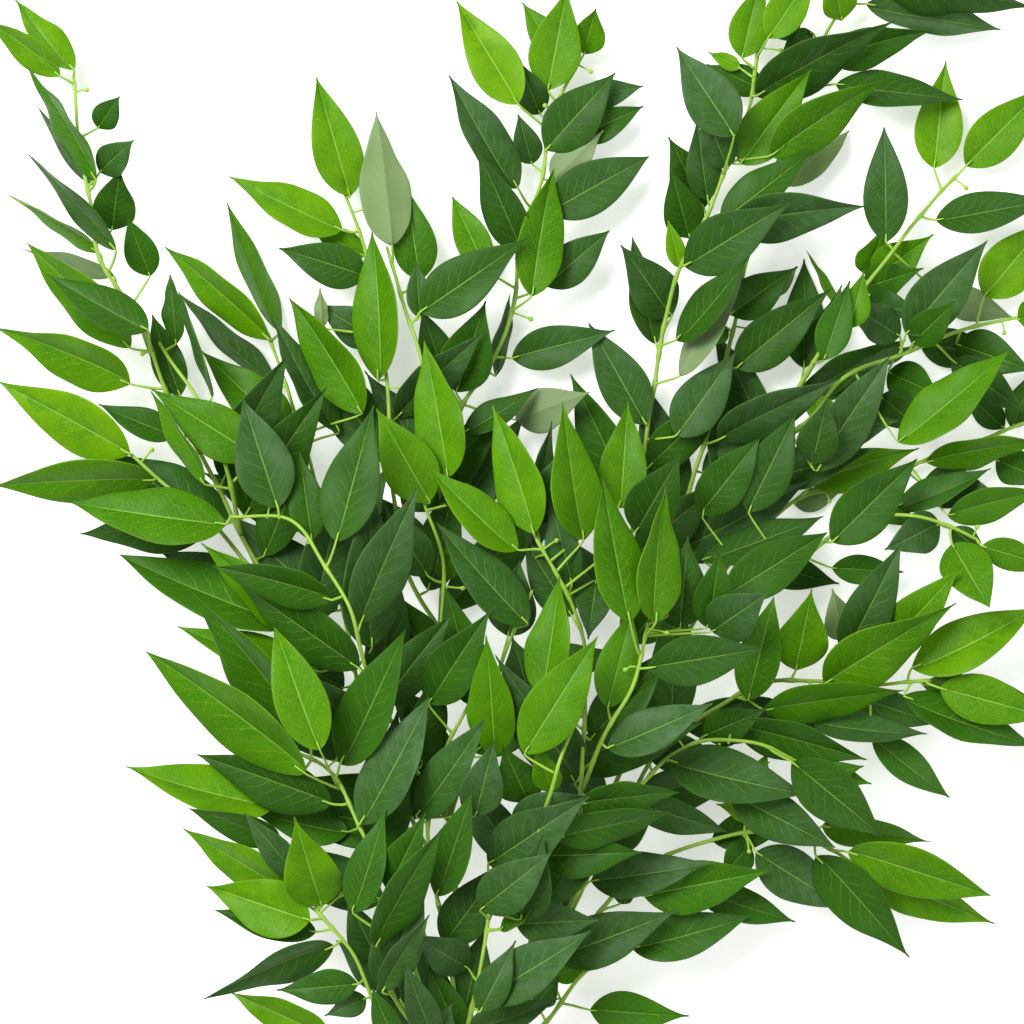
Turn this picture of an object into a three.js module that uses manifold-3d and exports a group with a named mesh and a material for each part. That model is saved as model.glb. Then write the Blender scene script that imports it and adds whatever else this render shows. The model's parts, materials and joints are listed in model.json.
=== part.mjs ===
// A cut ruscus stem with its leafy branches, lying on a flat surface.
// Millimetres, +Z up, +Y from the cut foot towards the tips. The surface is z = 0, and the origin is on it
// under the middle of the whole.

import * as THREE from "three";
import { mergeVertices } from "three/addons/utils/BufferGeometryUtils.js";
import Module from "manifold-3d";

const wasm = await Module();
wasm.setup();

// Where things lie is given as seen from straight above: a point at PLAN_HEIGHT is where its plan position
// says, and a higher one is drawn in a little towards the middle, as an eye at EYE_HEIGHT sees it.
const EYE_HEIGHT = 1650;
const PLAN_HEIGHT = 50;

// Leaf blade: share of the length at each section, and the blade's width there as a share of its greatest
// width.
const LEAF_SECTIONS = [0.17, 0.43, 0.74];
const LEAF_WIDTHS = [0.8, 1, 0.56];
const PLAIN_LEAF_SECTIONS = [0.26, 0.64];
const PLAIN_LEAF_WIDTHS = [0.96, 0.74];
const LONGEST_PLAIN_LEAF = 52;
const LEAF_WIDTH_TO_LENGTH = 0.385;
const BROADEST_LEAF = 0.48;
const YOUNG_LEAF_THICKNESS = 0.8;
const OLD_LEAF_THICKNESS = 1.3;
const PETIOLE_HALF_WIDTH = 0.9;
const PETIOLE_DEPTH = 1.3;
const SHORTEST_PETIOLE = 6.5;
const PETIOLE_ROOT_SCALE = 0.75;

// A leaf without a petiole starts at least this far along its blade, and a petiole that turns further back
// than FURTHEST_BACK, a cosine, is a bar of its own, which reaches a little way into the blade.
const LEAST_START = 2;
const FURTHEST_BACK = -0.6;
const BAR_OVERLAP = 1.8;
const BAR_SINK = 0.3;

// How far along the stem the root of a petiole is moved, in turn, where its usual place isn't clear.
const PETIOLE_SHIFTS = [0, 4, 8, -4, 12, -8, 16, 22, -14, 28, -20];

const LEAST_LEAF_CLEARANCE = 0.8;
const LARGEST_TILT = 34;
const LARGEST_LIFT_UNDER = 10;
const LARGEST_LIFT_OVER = 34;

// Branch stems.
const STEM_SIDES = 4;
const STEM_TIP_RADIUS = 1.15;
const STEM_FOOT_RADIUS = 2.1;
const SIDE_STEM_FOOT_RADIUS = 1.7;
const STEM_STEP = 31;
const STEM_STEEPEST = 0.5;
const FIRST_STEM_HEIGHT = 7;
const HEIGHT_PER_BRANCH = 1.9;

// Main stem: a tapered woody stalk with a cut foot, from which the branches leave one after another.
const MAIN_STEM = [
  [-24, -462, 6.4],
  [-27, -415, 6.1],
  [-23, -365, 5.6],
  [-25, -320, 4.9],
  [-20, -284, 3.4],
];
const MAIN_STEM_SIDES = 8;
const MAIN_STEM_FLAT = 0.3;
const FIRST_JOINT_Y = -294;
const JOINT_SPACING = 15;
const SIDE_JOINT_SLOPE = 1.4;
const STEM_RISE_LENGTH = 150;
const JOINT_SHARE = 0.4;
const JOINT_GAP = 0.3;

const FILL_SPACING = 22;
const FILL_FROM_Y = 70;
const FILL_TO_Y = -232;

const BUD_LENGTH = 6;
const BUD_RADIUS = 1.5;

// Each branch, from the lowest on the surface to the uppermost. stem runs from the branch's tip towards the
// main stem. A leaf is [base x, base y, tip x, tip y, width seen from above, age], where age runs from 0, a
// young leaf, to 1, and a negative width shows the leaf's underside. under lists the leaves below the stem,
// and over those above it. fill is the stretch in y that filling leaves cover, where it isn't the usual one,
// and it is an empty one where there are none.
const BRANCHES = [
  {
    name: "right_band",
    fill: [0, 0],
    stem: [
      [262, 46], [246, 38], [212, 31], [197, 20], [172, 12], [146, 8], [112, -22], [72, -92],
      [28, -190], [-4, -262],
    ],
    under: [
      [142, 3, 166, 12, -12, 0.9], [242, 26, 270, 14, 18, 1], [246, 42, 224, 62, 14, 0.9],
      [250, 42, 262, 72, 15, 0.9], [178, 8, 204, -8, 16, 0.6], [205, 14, 242, 10, 22, 0.9],
      [124, -26, 164, -36, 18, 0.95],
    ],
    over: [
      [207, 25, 266, 36, 15, 0.4], [150, 14, 204, 32, 18, 0.4], [218, -2, 266, 11, 17, 0.7],
      [192, 3, 240, 22, 15, 0.7],
    ],
    buds: [[158, 8]],
  },
  {
    name: "right_high",
    joins: "right_band",
    stem: [
      [222, 168], [209, 158], [200, 140], [188, 126], [176, 114], [164, 96], [150, 74], [130, 38],
      [106, -16],
    ],
    under: [
      [215, 108, 251, 97, -17, 0.9], [178, 118, 186, 142, 22, 0.35], [180, 116, 211, 139, 20, 0.4],
      [163, 103, 147, 131, 3, 0.3], [176, 112, 206, 122, 18, 1], [146, 72, 146, 127, 22, 1],
      [150, 74, 165, 114, 14, 1], [176, 104, 204, 100, 17, 1],
    ],
    over: [
      [211, 172, 217, 226, 23, 0.3], [227, 173, 266, 213, 24, 0.3], [187, 135, 186, 193, 22, 1],
      [212, 146, 268, 156, 21, 0.95], [194, 88, 168, 104, 20, 1], [197, 89, 238, 136, 26, 1],
      [169, 92, 176, 121, 14, 0.5], [156, 76, 169, 116, 17, 0.9],
    ],
    buds: [[226, 163]],
  },
  {
    name: "right_side",
    joins: "right_high",
    stem: [[252, 97], [231, 95], [214, 84], [200, 80], [184, 77], [170, 70], [156, 58], [140, 36]],
    under: [
      [204, 84, 244, 78, 20, 1], [222, 84, 262, 70, 22, 1], [188, 70, 214, 58, 22, 0.9],
      [150, 58, 162, 40, 14, 0.5], [172, 71, 204, 84, 9, 1], [186, 64, 160, 58, 18, 1],
      [184, 58, 206, 40, 20, 1], [220, 76, 256, 50, 20, 1],
    ],
    over: [
      [200, 84, 222, 106, 18, 1], [150, 38, 194, 46, 20, 1], [236, 108, 270, 148, 25, 0.3],
      [253, 96, 272, 104, 14, 0.4], [193, 35, 249, 81, 24, 0.55], [152, 20, 189, 78, 25, 1],
      [150, 24, 158, 58, 20, 1],
    ],
    buds: [[246, 91]],
  },
  {
    name: "upper_right",
    fill: [70, -25],
    stem: [
      [172, 262], [163, 250], [157, 240], [152, 224], [144, 206], [136, 186], [126, 150], [114, 112],
      [108, 78], [98, 40], [82, -8], [62, -56], [44, -100], [14, -200], [-8, -270],
    ],
    under: [
      [150, 240, 134, 228, 12, 1], [108, 92, 96, 84, 12, 0.5], [130, 108, 143, 123, -8, 0.9],
      [138, 163, 169, 191, -14, 0.9],
    ],
    over: [
      [165, 246, 160, 272, 18, 0.3], [177, 254, 245, 241, 22, 1], [186, 262, 262, 252, 16, 1],
      [158, 226, 211, 241, 17, 1], [162, 214, 226, 206, 19, 1], [109, 99, 143, 123, 20, 0.95],
      [112, 72, 160, 112, 24, 1], [103, 36, 165, 67, 21, 1],
    ],
    buds: [[116, 92], [154, 216]],
  },
  {
    name: "upper_inner",
    joins: "upper_right",
    stem: [
      [128, 262], [122, 224], [119, 204], [111, 184], [106, 168], [98, 148], [88, 132], [82, 116],
      [76, 92], [70, 56], [62, 6], [54, -62],
    ],
    under: [
      [125, 211, 97, 224, 15, 1], [114, 222, 98, 230, 8, 0.3], [130, 238, 148, 254, 16, 1],
      [96, 152, 78, 188, 22, 1], [98, 156, 92, 195, 18, 1], [89, 137, 79, 172, 20, 1],
      [84, 122, 78, 146, 10, 0.3], [72, 84, 60, 138, 18, 1], [80, 98, 54, 134, 24, 1],
    ],
    over: [
      [108, 172, 94, 204, 18, 1], [115, 227, 124, 266, 19, 0.35], [128, 237, 152, 272, 19, 0.35],
      [122, 208, 192, 246, 21, 1], [111, 188, 82, 233, 25, 1], [114, 174, 150, 222, 24, 0.5],
      [129, 178, 187, 217, 22, 0.45], [104, 146, 150, 181, 20, 0.95], [110, 144, 178, 153, 22, 1],
      [86, 123, 140, 155, 27, 1], [84, 68, 117, 125, -13, 0.9], [82, 86, 119, 128, 18, 1],
      [82, 38, 112, 80, 25, 1], [67, 44, 38, 95, 24, 1],
    ],
    buds: [[133, 231]],
  },
  {
    name: "top",
    fill: [30, -60],
    stem: [
      [34, 226], [25, 214], [18, 190], [14, 164], [7, 150], [3, 128], [2, 108], [-6, 88], [-12, 68],
      [-26, 50], [-32, 24], [-35, -30], [-36, -90], [-28, -190], [-14, -270],
    ],
    under: [
      [36, 229, 42, 252, 21, 0.5], [23, 228, 5, 255, 15, 0.5], [34, 206, 66, 213, 15, 0.9],
      [32, 187, 66, 203, 17, 0.95], [20, 165, 46, 191, -17, 0.9], [10, 174, 3, 199, 15, 1],
      [0, 77, 52, 91, 21, 1], [-8, 68, -1, 109, 9, 1], [-33, 66, -45, 101, 19, 1],
      [2, 46, 39, 60, -22, 0.9], [14, 199, 3, 226, 16, 0.95],
    ],
    over: [
      [18, 150, 69, 178, 27, 1], [17, 113, 49, 141, 21, 1], [17, 181, 52, 220, 26, 1],
      [3, 162, -32, 219, 22, 1], [5, 128, -18, 182, 20, 1], [3, 204, -28, 256, 24, 0.3],
      [18, 211, 28, 264, 24, 0.3], [10, 108, 21, 172, 23, 0.4], [-13, 121, -30, 158, 18, 0.35],
      [-28, 60, -13, 106, 25, 1],
    ],
    buds: [[38, 221], [8, 97], [19, 202]],
  },
  {
    name: "upper_left",
    joins: "top",
    stem: [[-84, 160], [-76, 148], [-74, 134], [-70, 112], [-66, 84], [-62, 60], [-60, 20], [-54, -26]],
    under: [[-74, 128, -101, 143, 15, 0.5], [-66, 85, -99, 105, 19, 1], [-95, 92, -96, 112, -7, 1]],
    over: [
      [-81, 158, -98, 218, 24, 0.3], [-85, 141, -142, 168, 22, 0.3], [-73, 118, -117, 132, 22, 1],
      [-67, 66, -70, 141, 24, 0.4],
    ],
    buds: [[-72, 152], [-56, 62]],
  },
  {
    name: "pale_twig",
    joins: "top",
    stem: [[-62, 132], [-62, 122], [-56, 110], [-51, 96], [-46, 82], [-42, 50], [-41, 14]],
    under: [[-46, 116, -53, 164, 21, 0.55], [-24, 40, 13, 62, 14, 1]],
    over: [
      [-60, 133, -68, 201, -23, 0.9], [-46, 97, -48, 126, 12, 1], [-46, 100, 9, 138, 25, 1],
      [-32, 17, -44, 86, 25, 0.45],
    ],
    buds: [[-55, 104]],
  },
  {
    name: "left_inner",
    fill: [70, -55],
    stem: [
      [-122, 90], [-118, 74], [-112, 60], [-107, 44], [-101, 24], [-92, -14], [-78, -80], [-56, -170],
      [-28, -276],
    ],
    under: [[-116, 90, -143, 156, 13, 0.55], [-118, 64, -167, 110, 11, 1], [-86, 40, -120, 98, 17, 1]],
    over: [
      [-121, 86, -174, 133, 18, 0.35], [-110, 40, -156, 81, 22, 0.6], [-75, 49, -112, 108, 23, 0.45],
    ],
    buds: [[-108, 37]],
  },
  {
    name: "far_left",
    joins: "left_inner",
    fill: [30, -65],
    stem: [
      [-219, 218], [-218, 192], [-211, 168], [-211, 148], [-206, 128], [-196, 113], [-188, 98],
      [-180, 76], [-154, 26], [-118, -40],
    ],
    under: [
      [-209, 163, -238, 204, 7, 0.9], [-199, 118, -246, 132, -8, 0.9], [-207, 130, -253, 159, 6, 0.35],
      [-207, 192, -196, 208, 17, 0.9], [-200, 141, -196, 172, 21, 1], [-181, 118, -192, 147, 17, 0.85],
    ],
    over: [
      [-219, 221, -249, 257, 16, 0.3], [-226, 218, -264, 247, 14, 0.3], [-206, 170, -189, 186, 18, 0.9],
      [-208, 166, -243, 224, 13, 0.5], [-198, 131, -243, 180, 9, 1],
    ],
    buds: [[-214, 211], [-209, 163]],
  },
  {
    name: "left_high",
    joins: "far_left",
    stem: [[-184, 92], [-180, 77], [-173, 60], [-160, 32]],
    under: [[-166, 58, -180, 99, 17, 1], [-168, 84, -171, 119, 12, 1]],
    over: [
      [-168, 38, -207, 54, 15, 1], [-191, 64, -260, 93, 22, 0.3], [-191, 82, -243, 135, 22, 0.45],
      [-182, 91, -233, 119, 19, 1],
    ],
    buds: [[-182, 80]],
  },
  {
    name: "left_mid",
    joins: "far_left",
    stem: [[-176, 84], [-168, 76], [-159, 60], [-148, 32], [-132, -6]],
    under: [[-150, 57, -167, 111, 6, 1]],
    over: [[-128, 28, -181, 62, 24, 0.5], [-154, 14, -181, 61, 10, 0.5]],
    buds: [],
  },
  {
    name: "left_low",
    joins: "far_left",
    fill: [70, -30],
    stem: [[-190, 28], [-180, 19], [-164, 6], [-140, -16], [-116, -46]],
    under: [],
    over: [[-191, 29, -258, 66, 26, 0.3], [-179, 16, -260, 13, 23, 0.35]],
    buds: [[-181, 30]],
  },
  {
    name: "right_mid",
    fill: [-95, -180],
    stem: [
      [232, -14], [218, -8], [203, -2], [184, 2], [160, -14], [128, -36], [92, -84], [56, -150],
      [18, -222], [-6, -286],
    ],
    under: [
      [214, -6, 186, -19, 21, 1], [220, -8, 238, -23, 12, 1], [160, -28, 196, -30, 15, 0.8],
      [95, -24, 156, -2, 18, 1], [166, -64, 160, -38, -16, 0.9],
    ],
    over: [
      [220, -16, 239, -48, 26, 0.4], [235, -17, 270, -28, 16, 0.4], [160, -15, 203, 27, 26, 1],
      [118, 0, 142, 50, 24, 1], [94, -1, 124, 37, 24, 1], [106, -42, 158, -10, 25, 0.95],
    ],
    buds: [[232, -9]],
  },
  {
    name: "right_bright",
    joins: "right_mid",
    stem: [[208, -84], [192, -82], [174, -88], [150, -84], [130, -84], [112, -92], [86, -108]],
    under: [
      [170, -92, 214, -106, 18, 0.8], [205, -86, 264, -94, 16, 0.5], [180, -74, 224, -28, 24, 0.35],
      [196, -92, 264, -118, 20, 0.85], [150, -104, 208, -111, 16, 1], [180, -112, 219, -143, 18, 0.7],
    ],
    over: [
      [167, -72, 195, -15, 24, 1], [200, -78, 264, -47, 25, 0.25], [214, -88, 270, -103, 24, 0.25],
      [156, -86, 223, -45, 26, 0.4], [142, -79, 150, -38, 25, 0.3], [118, -94, 131, -42, 22, 0.45],
      [126, -99, 197, -89, 21, 0.65],
    ],
    buds: [[216, -94], [150, -88]],
  },
  {
    name: "low_right",
    joins: "right_mid",
    fill: [70, -200],
    stem: [
      [180, -182], [168, -172], [150, -165], [130, -160], [104, -162], [82, -170], [62, -180],
      [48, -194], [36, -208],
    ],
    under: [
      [100, -164, 146, -150, 18, 1], [92, -188, 142, -205, 18, 0.95], [178, -184, 242, -206, 22, 0.35],
      [155, -157, 210, -165, 16, 0.5], [119, -167, 104, -183, 17, 0.95],
      [122, -150, 102, -146, 12, 0.3], [54, -196, 60, -180, 10, 0.6], [118, -142, 128, -120, 12, 0.4],
    ],
    over: [
      [122, -170, 168, -199, 25, 1], [152, -172, 199, -223, 24, 0.95], [168, -170, 240, -192, 26, 0.35],
      [66, -192, 130, -179, 25, 0.55],
    ],
    buds: [[174, -184], [118, -168]],
  },
  {
    name: "lowest_right",
    joins: "right_mid",
    stem: [[58, -218], [48, -218], [43, -226], [33, -233], [26, -244], [16, -256]],
    under: [[20, -233, 44, -222, 12, 0.6], [12, -246, 24, -232, 14, 0.9]],
    over: [[60, -218, 119, -202, 22, 0.85], [39, -249, 89, -252, 20, 0.8]],
    buds: [[34, -227]],
  },
  {
    name: "centre",
    fill: [70, -110],
    stem: [[-44, 4], [-36, -14], [-34, -40], [-36, -62], [-34, -110], [-28, -186], [-18, -294]],
    under: [
      [-42, -76, -60, -38, 24, 1], [-34, -34, -28, -14, 12, 0.5], [-16, 8, -36, 4, 16, 1],
      [-38, -112, -62, -86, 18, 1],
    ],
    over: [[-41, 5, -68, 52, 26, 0.45], [-42, -32, -64, 4, 20, 1]],
    buds: [[-26, -38]],
  },
  {
    name: "centre_mid",
    joins: "centre",
    stem: [[10, -40], [3, -56], [-5, -74], [-13, -96], [-21, -118], [-30, -150]],
    under: [[-2, -62, 4, -24, 24, 1]],
    over: [[8, -56, -38, -5, 22, 1]],
    buds: [],
  },
  {
    name: "left_bud",
    joins: "centre",
    stem: [[-94, -62], [-86, -70], [-76, -78], [-64, -98], [-48, -130]],
    under: [[-84, -88, -112, -72, 18, 1]],
    over: [
      [-96, -80, -168, -57, 18, 0.4], [-106, -56, -197, -21, 26, 0.6], [-99, -63, -156, -15, 21, 0.5],
      [-70, -68, -70, 14, 27, 1],
    ],
    buds: [[-87, -61]],
  },
  {
    name: "left_curl",
    joins: "centre",
    fill: [70, -165],
    stem: [
      [-140, -2], [-128, 0], [-117, -2], [-106, -7], [-101, -17], [-92, -28], [-84, -42], [-76, -66],
      [-66, -110], [-48, -158],
    ],
    under: [[-100, -14, -106, 30, 18, 1]],
    over: [
      [-90, -44, -150, -27, 20, 1], [-143, -6, -222, 5, 27, 0.4], [-117, 2, -135, 58, 27, 1],
      [-88, -15, -69, 54, 27, 1],
    ],
    buds: [[-120, 6]],
  },
  {
    name: "low_dark",
    stem: [
      [150, -128], [128, -118], [104, -112], [78, -124], [56, -148], [34, -186], [6, -250], [-6, -300],
    ],
    under: [
      [150, -128, 180, -136, 12, 0.6], [110, -108, 178, -124, 22, 1], [96, -112, 128, -98, 18, 1],
      [150, -132, 176, -127, 10, 0.7], [60, -146, 108, -160, 18, 1], [66, -116, 110, -128, 20, 1],
      [44, -166, 72, -148, 22, 1],
    ],
    over: [
      [110, -141, 162, -168, 24, 0.95], [78, -124, 150, -142, 26, 1], [140, -125, 186, -163, 26, 0.95],
      [24, -127, 96, -105, 26, 1],
    ],
    buds: [[76, -104]],
  },
  {
    name: "centre_fork",
    joins: "low_dark",
    stem: [[12, -13], [18, -22], [25, -36], [34, -56], [37, -84], [36, -112], [34, -148]],
    under: [
      [30, -52, 6, -14, 22, 1], [10, -24, 20, 46, 14, 1], [12, -6, 28, 34, 18, 1],
      [54, 2, 58, 56, 22, 0.4], [30, -36, 18, 8, 17, 1], [62, -10, 84, 28, 26, 1],
      [42, -34, 38, -64, 18, 1], [10, -96, 0, -62, 22, 1],
    ],
    over: [
      [36, -14, 25, 56, 22, 0.5], [11, -11, -10, 54, 22, 0.4], [3, -19, -41, 22, 21, 0.4],
      [14, -92, 24, -31, 21, 0.45],
    ],
    buds: [[21, -15]],
  },
  {
    name: "centre_right",
    joins: "centre_fork",
    stem: [[68, -56], [67, -68], [63, -82], [56, -92], [48, -108], [41, -124]],
    under: [
      [84, -58, 88, -12, 24, 1], [98, -58, 104, -20, 20, 1], [78, -52, 66, -20, 20, 0.9],
      [100, -60, 128, -40, 26, 1], [48, -98, 60, -49, 22, 0.6],
    ],
    over: [[59, -55, 45, 18, 24, 0.45], [72, -55, 77, 14, 19, 0.35], [68, -78, 126, -68, 24, 1]],
    buds: [[76, -60], [58, -78]],
  },
  {
    name: "centre_low",
    joins: "low_dark",
    stem: [[34, -100], [28, -110], [24, -124], [18, -144], [11, -179]],
    under: [
      [8, -145, -5, -116, 21, 1], [20, -140, 12, -116, 14, 0.5], [0, -152, 38, -142, 16, 1],
      [34, -146, 84, -140, 18, 1], [14, -172, 66, -170, 22, 1], [4, -176, -30, -128, 22, 1],
    ],
    over: [[6, -121, 43, -62, 27, 0.45], [22, -163, 80, -150, 19, 1]],
    buds: [[11, -127]],
  },
  {
    name: "middle_dark",
    stem: [[-22, -96], [-30, -112], [-40, -140], [-40, -180], [-30, -230], [-22, -308]],
    under: [
      [-34, -256, -46, -214, 18, 1], [-24, -250, -14, -208, 20, 1], [-42, -152, -64, -122, 18, 1],
    ],
    over: [
      [-18, -152, -9, -114, 20, 1], [-42, -96, -10, -48, 24, 0.9], [-9, -122, -13, -61, 22, 0.55],
      [-48, -152, -13, -103, 22, 0.85], [-38, -192, -20, -140, 20, 0.9], [-34, -216, -2, -172, 22, 1],
    ],
    buds: [],
  },
  {
    name: "low_left",
    stem: [
      [-119, -116], [-106, -118], [-93, -127], [-85, -137], [-80, -150], [-73, -163], [-62, -190],
      [-46, -236], [-28, -310],
    ],
    under: [[-82, -160, -131, -150, 18, 1], [-101, -116, -160, -40, 27, 0.6]],
    over: [
      [-118, -146, -194, -127, 22, 0.4], [-90, -146, -158, -121, 25, 1],
      [-103, -131, -184, -69, 30, 0.45], [-96, -119, -119, -57, 26, 0.35],
      [-76, -156, -41, -92, 26, 0.9], [-86, -126, -53, -58, 27, 0.9],
    ],
    buds: [[-88, -124]],
  },
  {
    name: "low_centre",
    joins: "middle_dark",
    stem: [[-10, -186], [-12, -204], [-14, -220], [-18, -238], [-21, -256]],
    under: [
      [-26, -262, -42, -226, 18, 1], [-6, -209, 19, -184, 9, 0.5], [-22, -228, -50, -211, 20, 1],
      [2, -206, 44, -204, 20, 1],
    ],
    over: [
      [-12, -176, 39, -142, 26, 1], [4, -204, 16, -160, 22, 1], [-16, -199, 20, -170, 24, 1],
      [-16, -243, 40, -209, 23, 0.95], [-22, -258, 24, -243, 14, 0.95], [-16, -250, 2, -214, 16, 1],
    ],
    buds: [],
  },
  {
    name: "low_dark_left",
    joins: "low_left",
    stem: [[-60, -172], [-64, -192], [-66, -212], [-62, -238]],
    under: [
      [-60, -236, -88, -214, 18, 1], [-66, -226, -82, -194, 20, 1], [-54, -252, -60, -216, 22, 1],
      [-56, -262, -66, -238, 14, 0.95], [-42, -268, -30, -246, 18, 0.95],
    ],
    over: [
      [-62, -189, -43, -150, 18, 0.9], [-80, -200, -63, -148, 19, 0.85],
      [-66, -237, -43, -186, 23, 0.9], [-68, -217, -35, -158, 21, 0.9],
      [-65, -240, -41, -201, 15, 0.95], [-40, -262, -54, -224, 16, 1],
    ],
    buds: [[-66, -194]],
  },
  {
    name: "lowest_left",
    stem: [
      [-98, -198], [-87, -203], [-81, -211], [-81, -219], [-74, -229], [-70, -243], [-62, -266],
      [-30, -316],
    ],
    under: [
      [-116, -165, -162, -148, 16, 0.95], [-106, -194, -165, -158, 21, 0.4],
      [-98, -210, -149, -199, 15, 1], [-90, -264, -141, -240, 20, 0.4], [-73, -243, -94, -252, 12, 1],
    ],
    over: [
      [-106, -184, -134, -150, 16, 1], [-77, -236, -118, -239, 17, 0.9],
      [-89, -217, -155, -244, 16, 0.85], [-101, -204, -153, -187, 27, 0.35],
      [-95, -197, -109, -152, 26, 0.35], [-58, -266, -70, -238, 14, 1],
    ],
    buds: [[-86, -192]],
  },
];

const UP = new THREE.Vector3(0, 0, 1);
const SKY = new THREE.Vector3(0, 0, 300);

// A seeded random draw from 0 to 1, the same on every run.
function drawsFrom(seed) {
  let state = seed >>> 0;
  return () => {
    state = (state + 0x6d2b79f5) >>> 0;
    let mixed = Math.imul(state ^ (state >>> 15), state | 1);
    mixed ^= mixed + Math.imul(mixed ^ (mixed >>> 7), mixed | 61);
    return ((mixed ^ (mixed >>> 14)) >>> 0) / 4294967296;
  };
}

// The point at height z that is seen from above at plan position (x, y).
function placed(x, y, z) {
  const share = (EYE_HEIGHT - z) / (EYE_HEIGHT - PLAN_HEIGHT);
  return new THREE.Vector3(x * share, y * share, z);
}

// A closed surface through rings of points, each ring with as many points as the next. A ring of one point
// is a tip.
function loft(rings) {
  const around = Math.max(...rings.map((ring) => ring.length));
  const starts = [];
  const points = [];
  for (const ring of rings) {
    starts.push(points.length);
    points.push(...ring);
  }
  const index = [];
  for (let k = 0; k + 1 < rings.length; k++) {
    for (let i = 0; i < around; i++) {
      const j = (i + 1) % around;
      const [a, b] = rings[k].length > 1 ? [starts[k] + i, starts[k] + j] : [starts[k], starts[k]];
      const next = starts[k + 1];
      const [c, d] = rings[k + 1].length > 1 ? [next + i, next + j] : [next, next];
      if (a !== b) index.push(a, d, b);
      if (c !== d) index.push(a, c, d);
    }
  }
  const last = starts[rings.length - 1];
  for (let i = 1; i + 1 < around; i++) {
    if (rings[0].length > 1) index.push(starts[0], starts[0] + i, starts[0] + i + 1);
    if (rings[rings.length - 1].length > 1) index.push(last, last + i + 1, last + i);
  }
  const geometry = new THREE.BufferGeometry().setFromPoints(points);
  return geometry.setIndex(index);
}

function solidOf(geometry) {
  const merged = mergeVertices(geometry, 1e-4);
  return new wasm.Manifold(
    new wasm.Mesh({
      numProp: 3,
      vertProperties: new Float32Array(merged.attributes.position.array),
      triVerts: new Uint32Array(merged.index.array),
    }),
  );
}

function geometryOf(solid) {
  const mesh = solid.getMesh();
  const geometry = new THREE.BufferGeometry();
  geometry.setAttribute("position", new THREE.BufferAttribute(mesh.vertProperties, 3));
  return geometry.setIndex(new THREE.BufferAttribute(mesh.triVerts, 1));
}

// Leaves

// The leaf's own sizes, from what is seen of it: a leaf too wide for its length in plan points up or down.
function leafShape([baseX, baseY, tipX, tipY, width, age], draw, isUnder) {
  const seenLength = Math.hypot(tipX - baseX, tipY - baseY);
  const seenWidth = Math.abs(width);
  const steepest = Math.cos(THREE.MathUtils.degToRad(LARGEST_TILT));
  const length = Math.min(Math.max(seenLength, seenWidth / BROADEST_LEAF), seenLength / steepest);
  const ownWidth = Math.max(LEAF_WIDTH_TO_LENGTH * length, Math.min(seenWidth, 0.6 * length));
  const roll = Math.acos(Math.min(1, seenWidth / ownWidth)) * (draw() < 0.5 ? -1 : 1);
  const isPlain = isUnder || length < LONGEST_PLAIN_LEAF;
  return {
    base: [baseX, baseY],
    tip: [tipX, tipY],
    seenLength,
    halfWidth: ownWidth / 2,
    roll: Math.min(1.3, Math.abs(roll)) * Math.sign(roll) + 0.12 * (draw() - 0.5),
    steep: Math.acos(Math.min(1, seenLength / length)),
    arch: (0.03 + 0.06 * draw()) * length,
    thickness: THREE.MathUtils.lerp(YOUNG_LEAF_THICKNESS, OLD_LEAF_THICKNESS, age),
    underside: width < 0,
    sections: isPlain ? PLAIN_LEAF_SECTIONS : LEAF_SECTIONS,
    widths: isPlain ? PLAIN_LEAF_WIDTHS : LEAF_WIDTHS,
    wish: draw(),
  };
}

// The rings [left edge, keel, right edge] of a blade whose base is at height z and whose chord rises at
// tilt radians.
function bladeRings(leaf, z, tilt) {
  const base = placed(...leaf.base, z);
  const tip = placed(...leaf.tip, z + leaf.seenLength * Math.tan(tilt));
  const along = tip.clone().sub(base).normalize();
  const level = UP.clone().cross(along).normalize();
  const upright = along.clone().cross(level);
  const side = level.multiplyScalar(Math.cos(leaf.roll)).addScaledVector(upright, Math.sin(leaf.roll));
  const face = along.clone().cross(side);
  if (leaf.underside) {
    side.negate();
    face.negate();
  }
  const ring = (share, halfWidth, depth) => {
    const rise = 4 * leaf.arch * share * (1 - share);
    const centre = base.clone().lerp(tip, share).addScaledVector(upright, rise);
    return [
      centre.clone().addScaledVector(side, halfWidth),
      centre.clone().addScaledVector(face, -depth),
      centre.clone().addScaledVector(side, -halfWidth),
    ];
  };
  return {
    neck: ring(0, PETIOLE_HALF_WIDTH, PETIOLE_DEPTH),
    sections: leaf.sections.map((share, i) => ring(share, leaf.widths[i] * leaf.halfWidth, leaf.thickness)),
    tip,
    upright,
  };
}

// All the space above a blade and just under it, which has to be free when the leaf is laid on what is
// there.
function skyOverBlade(leaf, rings) {
  const low = new THREE.Vector3(0, 0, -LEAST_LEAF_CLEARANCE);
  const widened = rings.sections.map(([left, keel, right]) => {
    const out = left.clone().sub(right).setLength(0.7);
    const lowest = leaf.underside ? left.clone().lerp(right, 0.5) : keel.clone();
    const under = lowest.add(low).addScaledVector(UP, -0.4);
    const a = left.clone().add(out).add(low);
    const b = right.clone().sub(out).add(low);
    const [first, second] = leaf.underside ? [a, b] : [b, a];
    return [first.clone().add(SKY), second.clone().add(SKY), second, under, first];
  });
  const last = widened[widened.length - 1];
  const across = last[2].clone().sub(last[4]).setLength(0.5);
  const end = rings.tip.clone().add(low);
  const point = [
    end.clone().sub(across).add(SKY),
    end.clone().add(across).add(SKY),
    end.clone().add(across),
    end.clone().addScaledVector(UP, -0.3),
    end.clone().sub(across),
  ];
  return solidOf(loft([...widened, point]));
}

const laid = [];

function boxOf(solid) {
  const box = solid.boundingBox();
  return [box.min[0], box.min[1], box.max[0], box.max[1], box.min[2], box.max[2]];
}

function lay(solid, owner, isStem = false) {
  laid.push({ solid, owner, isStem, box: boxOf(solid) });
}

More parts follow.
